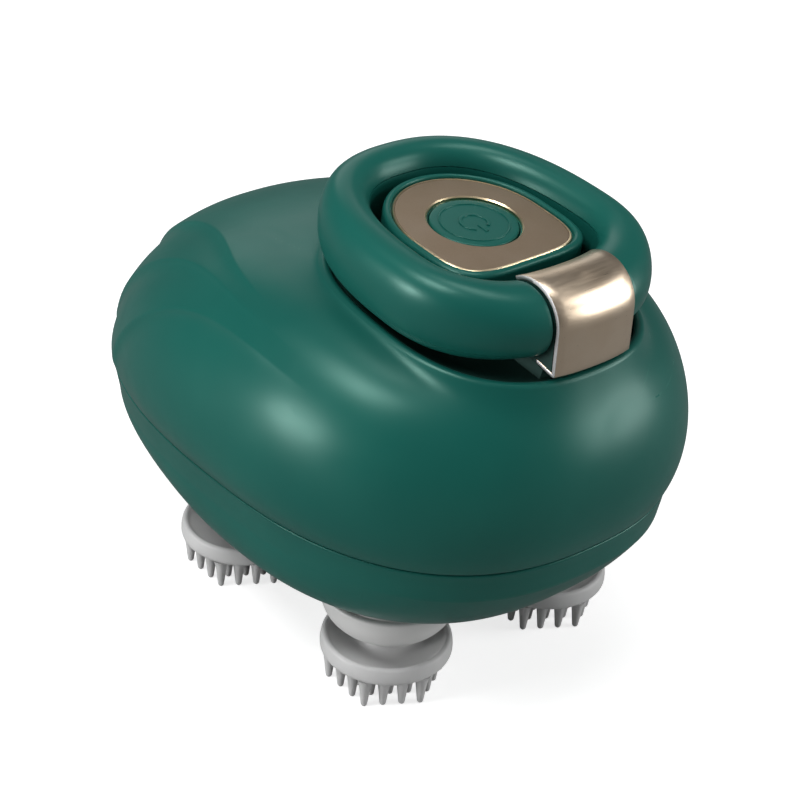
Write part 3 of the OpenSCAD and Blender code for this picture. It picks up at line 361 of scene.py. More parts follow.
def lathe(profile, steps=96, middle=(0, 0)):
    """Points and faces of a profile [radius, height] turned round the upright axis through middle."""
    turn = np.linspace(0, 2 * math.pi, steps, endpoint=False)
    rings = [np.column_stack([middle[0] + r * np.cos(turn), middle[1] + r * np.sin(turn),
                              np.full(steps, float(z))]) for r, z in profile]
    return np.concatenate(rings), skin(rings)


def finish_piece(piece, body, slot, *nodes):
    """The piece rides on a body and hides the CAD nodes that it stands for; slot is not used."""
    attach(piece, body)
    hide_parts(*nodes)
    print(piece.name, "for", ", ".join(nodes), "-", len(piece.data.polygons), "faces")


def arc(middle, radius, start, end, steps):
    """Points on a circular arc in a profile, angles in degrees."""
    return [[middle[0] + radius * math.cos(radians(a)), middle[1] + radius * math.sin(radians(a))]
            for a in np.linspace(start, end, steps)]


def cut(piece, cutters):
    """Takes the cutters out of the piece for good."""
    for cutter in cutters:
        modifier = piece.modifiers.new("cut", "BOOLEAN")
        modifier.operation, modifier.object, modifier.solver = "DIFFERENCE", cutter, "EXACT"
    bpy.context.view_layer.update()
    whole = bpy.data.meshes.new_from_object(piece.evaluated_get(bpy.context.evaluated_depsgraph_get()))
    piece.modifiers.clear()
    piece.data = whole
    for cutter in cutters:
        bpy.data.objects.remove(cutter)


# %% [markdown]
# ## Upper shell
# The dome runs from the collar lip down to the parting line. Each upright section is one smooth
# Bezier curve steered by five ovals: lip, collar, shoulder, swell and parting line. A subdivision
# cage could give a like form, but the formula lets the rear carry three feathered steps, each a
# crest with a crisp drop that settles along the flank and fades forward. Rows of points are packed
# closer together at the rear, where those creases need them. The lip is rolled into a half-round.

# %% The dome's guides
parting_z, gasket_h, wall = 40.9, 0.4, 2.2
lip_z, lip_tilt, lip_front, lip_rear = 79.1, radians(7), 29.4, 31
lip_front_z = lip_z - lip_front * math.sin(lip_tilt) + 0.1
lip_rear_z = lip_z + lip_rear * math.sin(lip_tilt) - 0.6
body_outline = (56.2, 72, 44.6, 2.45)
# Middle, front reach, rear reach, half width, squareness, heights at front, side and rear
lip_oval = (21, lip_front, lip_rear, 25.7, 2.6, lip_front_z, lip_z, lip_rear_z)
collar_oval = (21, 33.1, 34.7, 29.4, 2.4, lip_front_z - 12.1, lip_z - 6.1, lip_rear_z - 6.7)
shoulder_oval = (12.6, 41.6, 78.3, 39.0, 2.2, lip_front_z - 7.1, lip_z + 8.9, lip_rear_z + 0.3)
swell_oval = (0, 62, 65.6, 56, 2.3, 53.1, 53.1, 53.1)
parting_oval = (0, *body_outline, parting_z, parting_z, parting_z)
dome_guides = (lip_oval, collar_oval, shoulder_oval, swell_oval, parting_oval)
# Each feather edge: angle from the rear where it starts, settled level, rate, angle where it fades
relief_edges = ((10.5, 0.37, 6.4, 74), (23.6, 0.44, 7.2, 98), (39.3, 0.52, 8.5, 108))
relief_depth, dome_length, crest_share, trough_share = 1.7, 62, 0.35, 0.6
edge_easing, drop_length, recovery, fade_start = 0.2, 1.8, 5, 18


def oval_r(a, front, rear, half, square):
    """Radius at an angle of a soft oval, where square 2 is an ellipse."""
    reach = np.where(np.cos(a) > 0, front, rear)
    return ((np.abs(np.cos(a)) / reach) ** square + (np.abs(np.sin(a)) / half) ** square) ** (-1 / square)


def guide_point(guide, a):
    """A point of a guide, whose height runs smoothly from front to side to rear."""
    r, c = oval_r(a, *guide[1:5]), np.cos(a)
    front, side, rear = guide[5:]
    z = side + (front - rear) / 2 * c + ((front + rear) / 2 - side) * c * c
    return np.stack([guide[0] + r * c, r * np.sin(a), z], -1)


def dome_point(a, t):
    """A point of the dome, from the lip at share 0 to the parting line at share 1."""
    weights = (1, 4, 6, 4, 1)
    return sum((w * t**i * (1 - t) ** (4 - i))[..., None] * guide_point(g, a)
               for i, (w, g) in enumerate(zip(weights, dome_guides)))


def unit(v):
    return v / np.linalg.norm(v, axis=-1, keepdims=True)


def dome_normal(a, t):
    round_way = dome_point(a + radians(0.5), t) - dome_point(a - radians(0.5), t)
    down = dome_point(a, np.minimum(1, t + 0.01)) - dome_point(a, np.maximum(0, t - 0.01))
    return unit(np.cross(down, round_way))


def smooth(x):
    x = np.clip(x, 0, 1)
    return x * x * (3 - 2 * x)


print("lip at", round(lip_front_z, 1), "to", round(lip_rear_z, 1), "mm")


# %% Feather steps
def step_height(d):
    """Height at d millimetres below an edge: a crest, a drop, then a slow recovery."""
    down = (d + np.sqrt(d * d + edge_easing**2)) / 2
    crest = crest_share * np.exp((d - down) / recovery)
    drop = (crest_share + trough_share) * np.exp(-down / drop_length)
    return crest + drop - trough_share * np.exp(-down / recovery) - crest_share


def relief(a, t):
    """How far the feathers stand proud of the plain dome."""
    rear_angle = 180 - np.abs((np.degrees(a) + 180) % 360 - 180)
    height = 0
    for start, level, rate, fade_end in relief_edges:
        settle = (1 - level) * np.exp(-(rear_angle - start) / rate)
        slope = settle / rate * dome_length
        d = dome_length * (t - level - settle) / np.sqrt(1 + slope**2)
        fade = 1 - smooth((rear_angle - start - fade_start) / (fade_end - start - fade_start))
        height = height + fade * step_height(d)
    return relief_depth * smooth((1 - t) / 0.08) * smooth((t - 0.12) / 0.16) * height


def flat_rim(points):
    """Keeps the lower rim flat on the gasket."""
    points = points.copy()
    points[..., 2] = np.maximum(points[..., 2], parting_z + gasket_h / 2)
    return points


# Packing the angles closer at the rear, where the creases are.
round_steps, rear_packing, lip_probe = 560, radians(40), 0.01
turns = 2 * math.pi * np.arange(round_steps) / round_steps
round_angles = turns + rear_packing * np.sin(turns)
lip_radius = wall / 2
lip_line = dome_point(round_angles, np.zeros(round_steps))
lip_normal = dome_normal(round_angles, np.zeros(round_steps))
lip_fall = dome_point(round_angles, np.full(round_steps, lip_probe)) - lip_line
lip_down = unit(lip_fall)
lip_start = lip_radius * lip_probe / np.linalg.norm(lip_fall, axis=1)
lip_middle = lip_line + (lip_down - lip_normal) * lip_radius


def outer_row(share):
    t = lip_start + (1 - lip_start) * share
    proud = relief(round_angles, t)[:, None]
    return flat_rim(dome_point(round_angles, t) + dome_normal(round_angles, t) * proud)


def inner_row(share):
    """The inner wall, which turns upright near the parting line."""
    t = lip_start + (1 - lip_start) * share
    n = dome_normal(round_angles, t)
    n[:, 2] *= 1 - smooth((t - 0.86) / 0.14)
    return flat_rim(dome_point(round_angles, t) - unit(n) * wall)


def rim_bend(radius=0.3):
    """Steps of a small rounded edge, each as far in and as far from the flat."""
    return [(radius * (1 - math.cos(radians(b))), radius * (1 - math.sin(radians(b))))
            for b in (0, 30, 60, 90)]


bead = [lip_middle + lip_radius * (math.cos(radians(b)) * lip_normal - math.sin(radians(b)) * lip_down)
        for b in range(165, 0, -15)]
outer_rows = [outer_row(s) for s in np.linspace(0, 1, 240)]
inner_rows = [inner_row(s) for s in np.linspace(1, 0, 36)]
low_edge = outer_rows.pop()
inward = unit(low_edge * [-1, -1, 0])
outer_rows += [low_edge + inward * inset + np.array([0, 0, rise]) for inset, rise in rim_bend()]
upper_shell = loft("upper_shell_skin", bead + outer_rows + inner_rows, [satin_green_abs], closed=True)

# %% [markdown]
# ## Charging slot
# The inlet hides at the rear, under a green rubber stopper. A Boolean cuts its slot through the
# shell, as a side pin in the mould would. Blender keeps Booleans live, but here it is applied, so
# that the finished shell is one plain mesh.

# %% Slot for the stopper
inlet_place = (np.array([math.pi]), np.array([0.86]))
inlet_normal, inlet_point = dome_normal(*inlet_place)[0], dome_point(*inlet_place)[0]
inlet_axes = np.array([np.cross([0, 1, 0], inlet_normal), [0, 1, 0], inlet_normal])


def at_inlet(points):
    """From the inlet's own axes (up the dome, across, outwards) to the frame."""
    return inlet_point + np.asarray(points, float) @ inlet_axes


def slot_rings(length, height, levels, grow=()):
    """Rings of a long hole with round ends, one for each level and its growth."""
    grow = grow or [0] * len(levels)
    rings = []
    for level, extra in zip(levels, grow):
        r, reach = height / 2 + extra, (length - height) / 2
        edge = [(r * math.cos(radians(b)), side * reach + r * math.sin(radians(b)), level)
                for side, first in ((1, 0), (-1, 180)) for b in range(first, first + 181, 15)]
        rings.append(at_inlet(edge))
    return rings


cutter = loft("slot_cutter", slot_rings(11.7, 5.7, (-6, 6)), [satin_green_abs], capped=True)
cut(upper_shell, [cutter])
upper_shell.data.set_sharp_from_angle(angle=radians(35))
finish_piece(upper_shell, "casing", "moulded_green", "upper_shell")

stopper = loft("socket_stopper", slot_rings(11.4, 5.4, (-4.6, -2.2, -2.2, -0.1, 0.05, 0.1),
                                            (-1.3, -1.3, 0, 0, -0.1, -0.35)), [green_tpe], capped=True)
finish_piece(stopper, "casing", "moulded_green", "socket_plug")

# %% [markdown]
# ## Lower shell
# A shallow tray: an upright band under the parting line, a soft crease, then an underside that
# curves in to a flat floor. Four round seats hold the shaft seals and six deep holes hide the
# screws; drilled shapes like these are quickest as Booleans on a lofted skin.


# %% Tray
# Front reach, rear reach, half width and squareness
band_outline, knee_outline = (55.2, 70.4, 43.6, 2.45), (50.5, 72, 43.5, 2.4)
floor_outline = (46.5, 40, 40, 2.4)
band_h, knee_rise = 6.6, 3.2


def level_row(outline, inset, z, a):
    """An outline of the tray moved in by inset, at one height."""
    front, rear, half, squareness = outline
    return guide_point((0, front - inset, rear - inset, half - inset, squareness, z, z, z), a)


def lower_row(t, inset, lowest, a):
    """The underside, from the band at share 0 to the flat floor at share 1."""
    return (level_row(band_outline, inset, parting_z - band_h, a) * (1 - t) ** 2
            + level_row(knee_outline, inset, lowest + knee_rise, a) * 2 * t * (1 - t)
            + level_row(floor_outline, inset, lowest, a) * t * t)


tray_angles = np.linspace(0, 2 * math.pi, 240, endpoint=False)
base_z, floor_z = 23.5, 25.7
tray_top = parting_z - gasket_h / 2
outside = [lower_row(t, 0, base_z, tray_angles) for t in np.linspace(1, 0, 40)]
# The crease under the band is eased by a point just below it.
crease, above = outside[-1], level_row(body_outline, 0, tray_top, tray_angles)
outside[-1] = crease + (outside[-2] - crease) * 0.35
outside += [crease + (above - crease) * share for share in (0.04, 0.12, 0.3, 0.6, 0.9)]
rounding = [level_row(body_outline, inset, tray_top - drop, tray_angles) for inset, drop in rim_bend()]
inside = [level_row(body_outline, wall, tray_top, tray_angles)]
inside += [lower_row(t, wall, floor_z, tray_angles) for t in np.linspace(0, 1, 14)]
lower_shell = loft("lower_shell_skin", outside + rounding + inside, [satin_green_abs], capped=True, sharp=40)


def drill(x, y, low, high, diameter):
    """An upright cutter."""
    points, faces = lathe([(0, low), (diameter / 2, low), (diameter / 2, high), (0, high)], 64, (x, y))
    return mesh_piece("drill", points, faces, [satin_green_abs])


head_places = [(24, -21), (-24, -21), (24, 21), (-24, 21)]
screw_places = [(x, side * y, depth) for side in (-1, 1)
                for x, y, depth in ((41.5, 11, 4), (0, 36.5, 4), (-44, 26, 6))]
seal_seat_d, screw_hole_d, under_floor, over_floor = 12.08, 4.6, 20, 30
cut(lower_shell, [drill(x, y, under_floor, over_floor, seal_seat_d) for x, y in head_places]
    + [drill(x, y, under_floor, base_z + depth, screw_hole_d) for x, y, depth in screw_places])
lower_shell.data.set_sharp_from_angle(angle=radians(40))
finish_piece(lower_shell, "casing", "moulded_green", "lower_shell")

# %% [markdown]
# ## Button pod, face plate and trim
# The pod rises through the collar with its own forward tilt. Its outline is an oval that is
# squarer at the front than at the rear, and every level of the pod is that outline grown or
# shrunk, so one profile of (growth, height) pairs draws it all: a pocket for the plate, a tiny
# ledge, a rounded bead, the outer wall and the foot. The bronze plate has a fine polished edge.

# %% Pod frame and outline
pod_tilt, pod_x, pod_z = radians(5.2), 17, 91.1


def from_pod(points):
    """From the pod's tilted axes to the frame."""
    x, y, z = np.asarray(points, float).T
    c, s = math.cos(pod_tilt), math.sin(pod_tilt)
    return np.column_stack([pod_x + x * c + z * s, y, pod_z - x * s + z * c])


plate_steps = 192
plate_turn = np.linspace(0, 2 * math.pi, plate_steps, endpoint=False)
plate_middle, plate_front, plate_rear, plate_half = 0.5, 14.3, 16.2, 14.4
front_square, rear_square = 4.2, 2


def plate_ring(out, z):
    """The plate's outline grown by out, at a height z over the plate's face."""
    squareness = np.where(np.cos(plate_turn) > 0, front_square, rear_square)
    r = oval_r(plate_turn, plate_front + out, plate_rear + out, plate_half + out, squareness)
    return from_pod(np.column_stack([plate_middle + r * np.cos(plate_turn), r * np.sin(plate_turn),
                                     np.full(plate_steps, float(z))]))


def hole_ring(radius, z):
    """A circle round the button, at a height z over the plate's face."""
    return from_pod(np.column_stack([radius * np.cos(plate_turn), radius * np.sin(plate_turn),
                                     np.full(plate_steps, float(z))]))


# %% Pod
pocket_z, ledge_z, bore_r = -0.8, -0.35, 8.65
profile = [(0.55, pocket_z), (0.55, ledge_z), (0.78, ledge_z)] + arc((1.3, -0.02), 0.52, 180, 95, 6)
profile += arc((1.2, -0.5), 1.0, 88, 0, 9)
profile += [(2.2, -6), (2.2, -15.3), (3.8, -15.3), (3.8, -17), (0.2, -17), (0.2, -2.8)]
pod_rings = [plate_ring(out, z) for out, z in profile]
pod_rings += [hole_ring(bore_r, z) for z in (-2.8, pocket_z)]
pod = loft("pod_skin", pod_rings, [satin_green_abs], closed=True)
finish_piece(pod, "casing", "moulded_green", "pod_housing")

# %% Plate and trim
plate_rings = [plate_ring(0, pocket_z), plate_ring(0, -0.06), plate_ring(-0.06, 0),
               hole_ring(9.2, 0), hole_ring(8.95, -0.22), hole_ring(8.95, pocket_z)]
plate_kinds = np.repeat([0, 0, 0, 1, 1, 0], plate_steps)
plate = loft("bronze_plate", plate_rings, [blasted_bronze_aluminium, polished_gold_edge], closed=True,
             kinds=plate_kinds)
finish_piece(plate, "casing", "bronze", "face_plate")
trim_profile = [(0.05, pocket_z), (0.05, 0), (0.3, 0.05), (0.45, -0.06), (0.5, -0.2), (0.5, pocket_z)]
trim = loft("plate_edge", [plate_ring(out, z) for out, z in trim_profile], [polished_gold_edge], closed=True)
finish_piece(trim, "casing", "gold_trim", "plate_trim")

# %% [markdown]
# ## Power button
# A turned cap with a thin raised ring and a raised standard power symbol, its stroke towards the
# strap. Text or an image could carry the symbol, but a swept bar with a rounded back catches the
# light along its edges as a moulded mark does.

# %% Button
button_top = -0.3
ring_line = arc((6.6, button_top), 0.2, 0, 180, 7)
cap = [(0, button_top), (6.3, button_top)] + ring_line[::-1] + [(7.0, button_top)]
cap += arc((8.0, button_top - 0.45), 0.45, 90, 0, 6)
cap += [(8.45, -3.1), (9.45, -3.1), (9.45, -4.1), (2, -4.1), (2, -5.2), (0, -5.2)]
cap_points, cap_faces = lathe(cap, 128)


def raised_bar(path, width, height, low):
    """A bar with a rounded back along a path in the plane of the button."""
    path = np.asarray(path, float)
    way = unit(np.gradient(path, axis=0))
    side = np.column_stack([way[:, 1], -way[:, 0]])
    shape = [(-0.5, -0.2), (-0.5, 0.4), (-0.38, 0.85), (0, 1), (0.38, 0.85), (0.5, 0.4), (0.5, -0.2)]
    rings = [np.array([[*(p + n * width * u), low + height * v] for u, v in shape])
             for p, n in zip(path, side)]
    return np.concatenate(rings), skin(rings, capped=True)


symbol_r, line_w, line_h = 2.65, 0.7, 0.2
open_ring = [(symbol_r * math.cos(radians(b)), symbol_r * math.sin(radians(b))) for b in range(34, 327, 4)]
stroke = [(x, 0) for x in np.linspace(1.2, 3.7, 5)]
symbol = [raised_bar(path, line_w, line_h, button_top) for path in (open_ring, stroke)]
button_points, button_faces = join_parts([(cap_points, cap_faces)] + symbol)
button = mesh_piece("power_button_cap", from_pod(button_points), button_faces, [satin_green_abs], sharp=40)
finish_piece(button, "button", "moulded_green", "power_button")

# %% [markdown]
# ## Ring handle
# The handle is a fat oval tube in two moulded halves, clipped over the pin ends. Its section is a
# superellipse, rounder than a box and fuller than an ellipse. A curve with a bevel profile could
# sweep it, but here each rail of the sweep has to stop in the flat plane next to the strap, so the
# rails are computed one by one and cut at that plane. The joint runs low outside and high inside.

# %% Ring path and section
ring_end, ring_w, ring_h, end_d, square = 9.6, 9.6, 14.7, 13.6, 2.3
ring_front, ring_rear, ring_side, path_square = 18.5, 31.9, 23.1, 2.4
seam_outside, seam_inside, seam_groove, end_round = -4.6, 3.6, 0.16, 0.5
hinge = np.array([42.4, 0, 85.2])
ring_reach = ring_front / (1 - (ring_end / ring_side) ** path_square) ** (1 / path_square)


def ring_path(a):
    """The tube's middle line, with the hinge pin at its origin."""
    r = oval_r(a, ring_reach, ring_rear, ring_side, path_square)
    return np.stack([r * np.cos(a) - ring_front, r * np.sin(a)], -1)


def power(v, e):
    """A power that keeps the sign."""
    return np.sign(v) * np.abs(v) ** e


def section_point(b, share):
    """A point of the tube's section: a tall soft oval at share 0, and round at share 1."""
    shape = square + (2 - square) * share
    return ((ring_w + (end_d - ring_w) * share) / 2 * power(math.cos(radians(b)), 2 / shape),
            (ring_h + (end_d - ring_h) * share) / 2 * power(math.sin(radians(b)), 2 / shape))


def rail(b, grow, steps):
    """One lengthwise line of the ring, from the plane beside the strap round to the other side."""
    a = np.linspace(radians(8), radians(352), 1500)
    middle_line = ring_path(a)
    past_end = (np.abs(middle_line[:, 1]) - ring_end) / (ring_side - ring_end)
    share = np.where(np.cos(a) > 0, 1 - smooth(past_end), 0)
    offset, height = section_point(b, share)
    offset, height = offset * (1 + grow / (ring_w / 2)), height * (1 + grow / (ring_h / 2))
    way = unit(ring_path(a + 0.005) - ring_path(a - 0.005))
    line = middle_line + np.column_stack([way[:, 1], -way[:, 0]]) * offset[:, None]
    third = len(a) // 3
    first = np.interp(ring_end + steps[0], line[:third, 1], a[:third])
    spots = first + (2 * math.pi - 2 * first) * np.asarray(steps[1])
    return np.column_stack([np.interp(spots, a, v) for v in (line[:, 0], line[:, 1], height)])


def ring_half(name, sections, node):
    """A half of the ring from (angle, growth) pairs round its section, with rounded ends."""
    ends = [(end_round * (1 - math.sin(radians(b))), -end_round * (1 - math.cos(radians(b))))
            for b in (90, 60, 30)]
    start = np.array([[rail(b, g + shrink, (inset, [0]))[0] for b, g in sections] for inset, shrink in ends])
    body = np.array([rail(b, g, (end_round, np.linspace(0, 1, 220))) for b, g in sections]).transpose(1, 0, 2)
    stop = start[::-1] * [1, -1, 1]
    points = np.concatenate([start, body, stop])
    c, s = math.cos(pod_tilt), math.sin(pod_tilt)
    x, y, z = points[..., 0], points[..., 1], points[..., 2]
    placed = np.stack([hinge[0] + x * c + z * s, y, hinge[2] - x * s + z * c], -1)
    piece = loft(name, list(placed), [satin_green_abs], capped=True, sharp=40)
    finish_piece(piece, "ring_handle", "moulded_green", node)


low_b = -math.degrees(math.asin((-2 * seam_outside / ring_h) ** (square / 2)))
high_b = 180 - math.degrees(math.asin((2 * seam_inside / ring_h) ** (square / 2)))
upper = [(low_b, -seam_groove), (low_b + 0.6, 0)]
upper += [(b, 0) for b in np.linspace(low_b + 4, high_b - 4, 34)]
upper += [(high_b - 0.6, 0), (high_b, -seam_groove)]
lower = [(high_b + 0.3, -seam_groove), (high_b + 0.9, 0)]
lower += [(b, 0) for b in np.linspace(high_b + 4, 360 + low_b - 4, 34)]
lower += [(360 + low_b - 0.9, 0), (360 + low_b - 0.3, -seam_groove)]
ring_half("ring_upper_skin", upper, "ring_upper")
ring_half("ring_lower_skin", lower, "ring_lower")

# %% [markdown]
# ## Strap
# A gold band is bent over the ring's post and comes down in front. Its broad faces are brushed and
# its cut edges stay silver. A Bevel modifier would round all its edges alike; sweeping a rounded
# bar section along the bend instead lets the cut edges keep their own material.

# %% Strap
strap_w, strap_t, strap_foot, seat_slope = 18.5, 0.9, 3.8, math.tan(radians(16))
end_r = end_d / 2
front_low, seat = lip_front_z + 0.9 - hinge[2], lip_front_z + 2.7 - hinge[2]
half_w, soft = strap_w / 2, 0.14
across = np.linspace(half_w - soft, soft - half_w, 11)
bar = [(-half_w, soft), (-half_w, strap_t - soft), (-half_w + soft * 0.3, strap_t - soft * 0.3)]
bar += [(y, strap_t) for y in across[::-1]]
bar += [(half_w - soft * 0.3, strap_t - soft * 0.3), (half_w, strap_t - soft), (half_w, soft)]
bar += [(y, 0) for y in across]
edge_faces = {0, 1, 14, 15}


def bow(y):
    """The strap bows forward across its width, as the line of the ring does."""
    return ring_reach * (1 - (abs(y) / ring_side) ** path_square) ** (1 / path_square) - ring_front


def strap_station(inner, outer):
    """One section of the band, between a point on its inner face and one on its outer face."""
    inner, outer = np.array(inner), np.array(outer)
    ring = []
    for y, u in bar:
        x, z = inner + (outer - inner) * u / strap_t
        ring.append((hinge[0] + x + bow(y), y, hinge[2] + z))
    return np.array(ring)


heel = end_r - strap_foot
foot_at = seat - heel * seat_slope
foot_bend = 0.5
corner = (end_r + strap_t - foot_bend, front_low + foot_bend)
stations = []
for v in (0, 0.4, 0.8):
    x, z = heel + strap_foot * v, foot_at + (front_low - foot_at) * v
    stations.append(strap_station((x, z + strap_t), (x, z)))
stations += [strap_station((end_r, front_low + strap_t), outer)
             for outer in arc(corner, foot_bend, -90, -10, 4)]
stations += [strap_station((end_r, z), (end_r + strap_t, z)) for z in np.linspace(front_low + 1.4, -0.6, 8)]
stations += [strap_station((end_r * math.cos(b), end_r * math.sin(b)),
                           ((end_r + strap_t) * math.cos(b), (end_r + strap_t) * math.sin(b)))
             for b in np.radians(np.linspace(0, 124, 60))]
strap_kinds = [int(i in edge_faces) for i in range(len(bar))] * (len(stations) - 1) + [1, 1]
strap = loft("gold_strap_band", stations, [brushed_gold_aluminium, cut_aluminium], capped=True, sharp=45,
             kinds=strap_kinds)
finish_piece(strap, "casing", "gold_strap", "hinge_strap")

# %% [markdown]
# ## Massage heads
# Each head is a grey cup on a steel shaft with a silicone pad snapped on below. Cup and pad are
# turned shapes, so a profile is spun round the axis. The 37 fingers are small turned pegs with a
# flared root and a domed tip, set out on a hexagon; an Array or an instance node could repeat
# them, but joined into the pad they stay one soft moulding, as they are on the real one.

# %% Cup and pad profiles
pad_z, pad_h, pad_r, neck, neck_top = 6.6, 4, 13.1, 4.6, 12.6
cup_z, cup_h, cup_r, cup_foot, cup_wall, bowl_share, shaft_hole = 12.7, 9.2, 13.5, 4.6, 1.6, 0.86, 2.54
finger_step, finger_rings = 3.7, 3


def cup_profile():
    """A bowl with a hub for the shaft and a spigot for the pad."""
    bowl_r, inner_r = cup_r - cup_foot, cup_r - cup_foot - cup_wall
    bowl = [(cup_foot + bowl_r * math.sin(radians(b)), cup_h * (1 - math.cos(radians(b))) * bowl_share)
            for b in range(0, 91, 5)]
    inside = [(cup_foot + inner_r * math.sin(radians(b)),
               cup_h * (1 - math.cos(radians(b))) * bowl_share + cup_wall) for b in range(90, 26, -6)]
    rim = arc((cup_r - 0.5, cup_h - 0.5), 0.5, 0, 90, 5) + arc((cup_r - 1.1, cup_h - 0.5), 0.5, 90, 180, 5)
    hub = [(4.9, inside[-1][1]), (4.9, cup_h - 0.3), (4.6, cup_h), (shaft_hole, cup_h),
           (shaft_hole, cup_wall), (0, cup_wall)]
    outside = [(0, -3.1), (2.7, -3.1), (2.9, -2.8), (2.9, 0)] + bowl + rim + inside + hub
    return [(r, cup_z + z) for r, z in outside]


def pad_profile():
    """A rounded rim round a shallow dish, with a neck in its middle."""
    r, top = pad_r, neck_top - pad_z
    rim = arc((r - 1.3, 1.3), 1.3, -90, 0, 8) + [(r, 2.0), (r - 0.12, 2.9)]
    rim += arc((r - 0.95, pad_h - 0.75), 0.72, 15, 165, 9)
    dish = [(r - 2.2, 3.1), (r - 2.9, 2.75), (r - 4.2, 2.45), (neck + 3, 2.25), (neck + 1.8, 2.3),
            (neck + 0.9, 2.7), (neck + 0.35, 3.4), (neck + 0.05, 4.6), (neck, top - 0.25),
            (neck - 0.25, top), (2.95, top), (2.95, 2.8), (0, 2.8)]
    return [(radius, pad_z + z) for radius, z in [(0, 0)] + rim + dish]


def finger_profile():
    """A peg with a domed tip and a flared root that sinks into the pad."""
    tip = [(0, 0), (0.3, 0.01)] + arc((0, 0.62), 0.66, -58, 0, 6)
    return tip + [(0.8, 1.8), (0.98, 3.4), (1.18, 4.9), (1.36, 5.8), (1.52, 6.3), (1.7, 6.65), (0, 6.7)]


# %% Four heads
reach = range(-finger_rings, finger_rings + 1)
finger_places = [(finger_step * (q + s / 2), finger_step * s * math.sqrt(3) / 2)
                 for q in reach for s in reach if abs(q + s) <= finger_rings]
for number, (x, y) in enumerate(head_places, 1):
    cup = mesh_piece(f"cup_{number}", *lathe(cup_profile(), 120, (x, y)), [satin_grey_abs], sharp=38)
    finish_piece(cup, f"head_{number}", "grey_plastic", f"head_cup_{number}")
    pegs = [lathe(finger_profile(), 20, (x + fx, y + fy)) for fx, fy in finger_places]
    pad_points, pad_faces = join_parts([lathe(pad_profile(), 120, (x, y))] + pegs)
    pad = mesh_piece(f"pad_{number}", pad_points, pad_faces, [grey_silicone], sharp=50)
    finish_piece(pad, f"head_{number}", "grey_silicone", f"head_pad_{number}")

# %% [markdown]
# ## Finishes for the CAD pieces
# The pieces that keep their CAD shape only need a finish. A table from finish to piece names reads
# like a bill of materials, which is easier to check than settings scattered over the objects.

# %% Finishes
finishes = {
    # The darker green of the deck and the post is painted shade.
    matt_green_abs_painted_shade: ["collar_deck", "hinge_post"],
    black_epdm: ["shell_gasket", "hinge_washers", "button_seal", "shaft_seals"],
    turned_steel: ["shell_screws", "post_screws", "ring_screws", "hinge_pin", "board_screws",
                   "gearbox_screws", "sun_axle", "motor_screws", "motor_shaft", "charge_socket",
                   *(f"head_shaft_{i}" for i in (1, 2, 3, 4))],
    plated_motor_steel: ["motor_can"],
    glass_filled_black_nylon: ["tact_switch", "motor_cap"],
    creamy_acetal: ["gearbox_base", "gearbox_cover", "sun_wheel", "battery_cradle",
                    *(f"head_gear_{i}" for i in (1, 2, 3, 4))],
    sintered_bronze: ["lower_bushes", "upper_bushes", "motor_pinion"],
    green_board: ["control_board", "charge_board"],
    pvc_sleeve: ["battery_cell"],
    pvc_wire: ["battery_leads", "motor_leads", "charge_leads"],
}
for material, names in finishes.items():
    for name in names:
        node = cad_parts[name]
        node.data.materials.clear()
        node.data.materials.append(material)
print("finished", sum(len(names) for names in finishes.values()), "CAD pieces")

# %% [markdown]
# ## Floor and light
# The object stands on a plain pale floor. To the camera the floor glows, so that it reads as white
# paper, yet it still takes the soft shadow. Seen in the object's gloss it is a dim grey with a trace
# of glow, as studio paper is past the reach of its lamps, which keeps the green deep. Six soft boxes
# and a faint surround light the object: two from the left, where the photograph's highlights lie,
# one each from the right, the rear and above, and a narrow one for the strap's bright band.

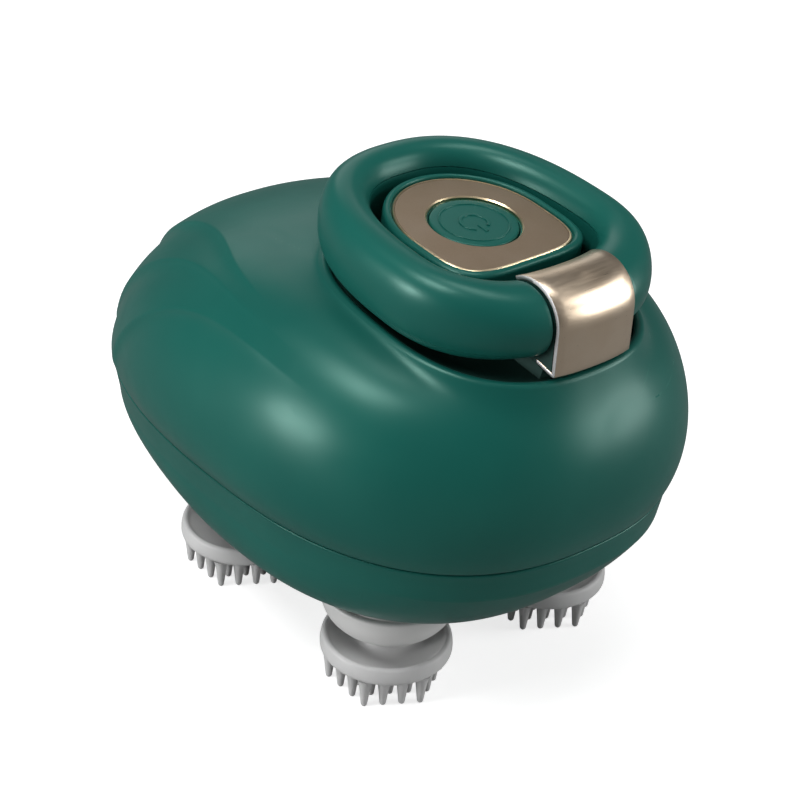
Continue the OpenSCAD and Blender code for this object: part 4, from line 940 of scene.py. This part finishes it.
# %% Floor
floor_reach, camera_glow, gloss_glow = 3, 0.75, 0.12
floor_mesh = bpy.data.meshes.new("floor")
corners = [(x * floor_reach, y * floor_reach, 0) for x, y in ((-1, -1), (1, -1), (1, 1), (-1, 1))]
floor_mesh.from_pydata(corners, [], [(0, 1, 2, 3)])
floor = bpy.data.objects.new("floor", floor_mesh)
bpy.context.collection.objects.link(floor)
paper, tree, shader = new_material("white_paper")
fibre = noise(tree, object_place(tree), 2, 4.0)
ray = add(tree, "ShaderNodeLightPath")
feed(tree, shader, Base_Color=blend(tree, ray.outputs["Is Glossy Ray"], "#C2C2C2", "#505050"), Roughness=0.95,
     Specular_IOR_Level=0.1, Normal=dents(tree, fibre, 0.05, 0.1))
seen = maths(tree, "MULTIPLY", ray.outputs["Is Camera Ray"], camera_glow)
mirrored = maths(tree, "MULTIPLY", ray.outputs["Is Glossy Ray"], gloss_glow)
glow = add(tree, "ShaderNodeEmission",
           {"Color": (1, 1, 1, 1), "Strength": maths(tree, "MAXIMUM", seen, mirrored)})
both = add(tree, "ShaderNodeAddShader", {0: shader.outputs["BSDF"], 1: glow.outputs["Emission"]})
tree.links.new(both.outputs[0], tree.nodes["Material Output"].inputs["Surface"])
floor_mesh.materials.append(paper)


# %% Light
def soft_box(name, spot, width, height, power):
    """A rectangular lamp at a spot in metres that faces the object's middle."""
    lamp = bpy.data.lights.new(name, "AREA")
    lamp.shape, lamp.size, lamp.size_y, lamp.energy = "RECTANGLE", width, height, power
    box = bpy.data.objects.new(name, lamp)
    bpy.context.collection.objects.link(box)
    box.location = spot
    box.rotation_euler = (middle - Vector(spot)).to_track_quat("-Z", "Y").to_euler()


def from_bearing(azimuth, elevation, distance):
    """A spot seen from the object's middle at these angles, in degrees and metres."""
    flat = math.cos(radians(elevation)) * distance
    return middle + Vector((flat * math.cos(radians(azimuth)), flat * math.sin(radians(azimuth)),
                            math.sin(radians(elevation)) * distance))


middle = Vector((0.02, -0.03, 0.06))
soft_box("high_left", from_bearing(-101, 60, 0.8), 0.3, 0.26, 3.8)
soft_box("low_left", from_bearing(-109, 9, 0.7), 0.22, 0.14, 2.8)
soft_box("right", from_bearing(50, 10, 0.9), 0.4, 0.3, 3.3)
soft_box("rear", from_bearing(149, 24, 0.9), 0.5, 0.3, 0.45)
soft_box("top", (0.0, 0.1, 1.0), 0.5, 0.3, 2.8)
soft_box("strap_band", from_bearing(52, 31, 0.9), 0.3, 0.1, 1.3)
world = bpy.data.worlds.new("studio")
bpy.context.scene.world = world
world.use_nodes = True
world.node_tree.nodes["Background"].inputs["Color"].default_value = (1, 1, 1, 1)
world.node_tree.nodes["Background"].inputs["Strength"].default_value = 0.11
bpy.context.scene.view_settings.view_transform = "Standard"
print("lit by", len(bpy.data.lights), "soft boxes and a faint surround")
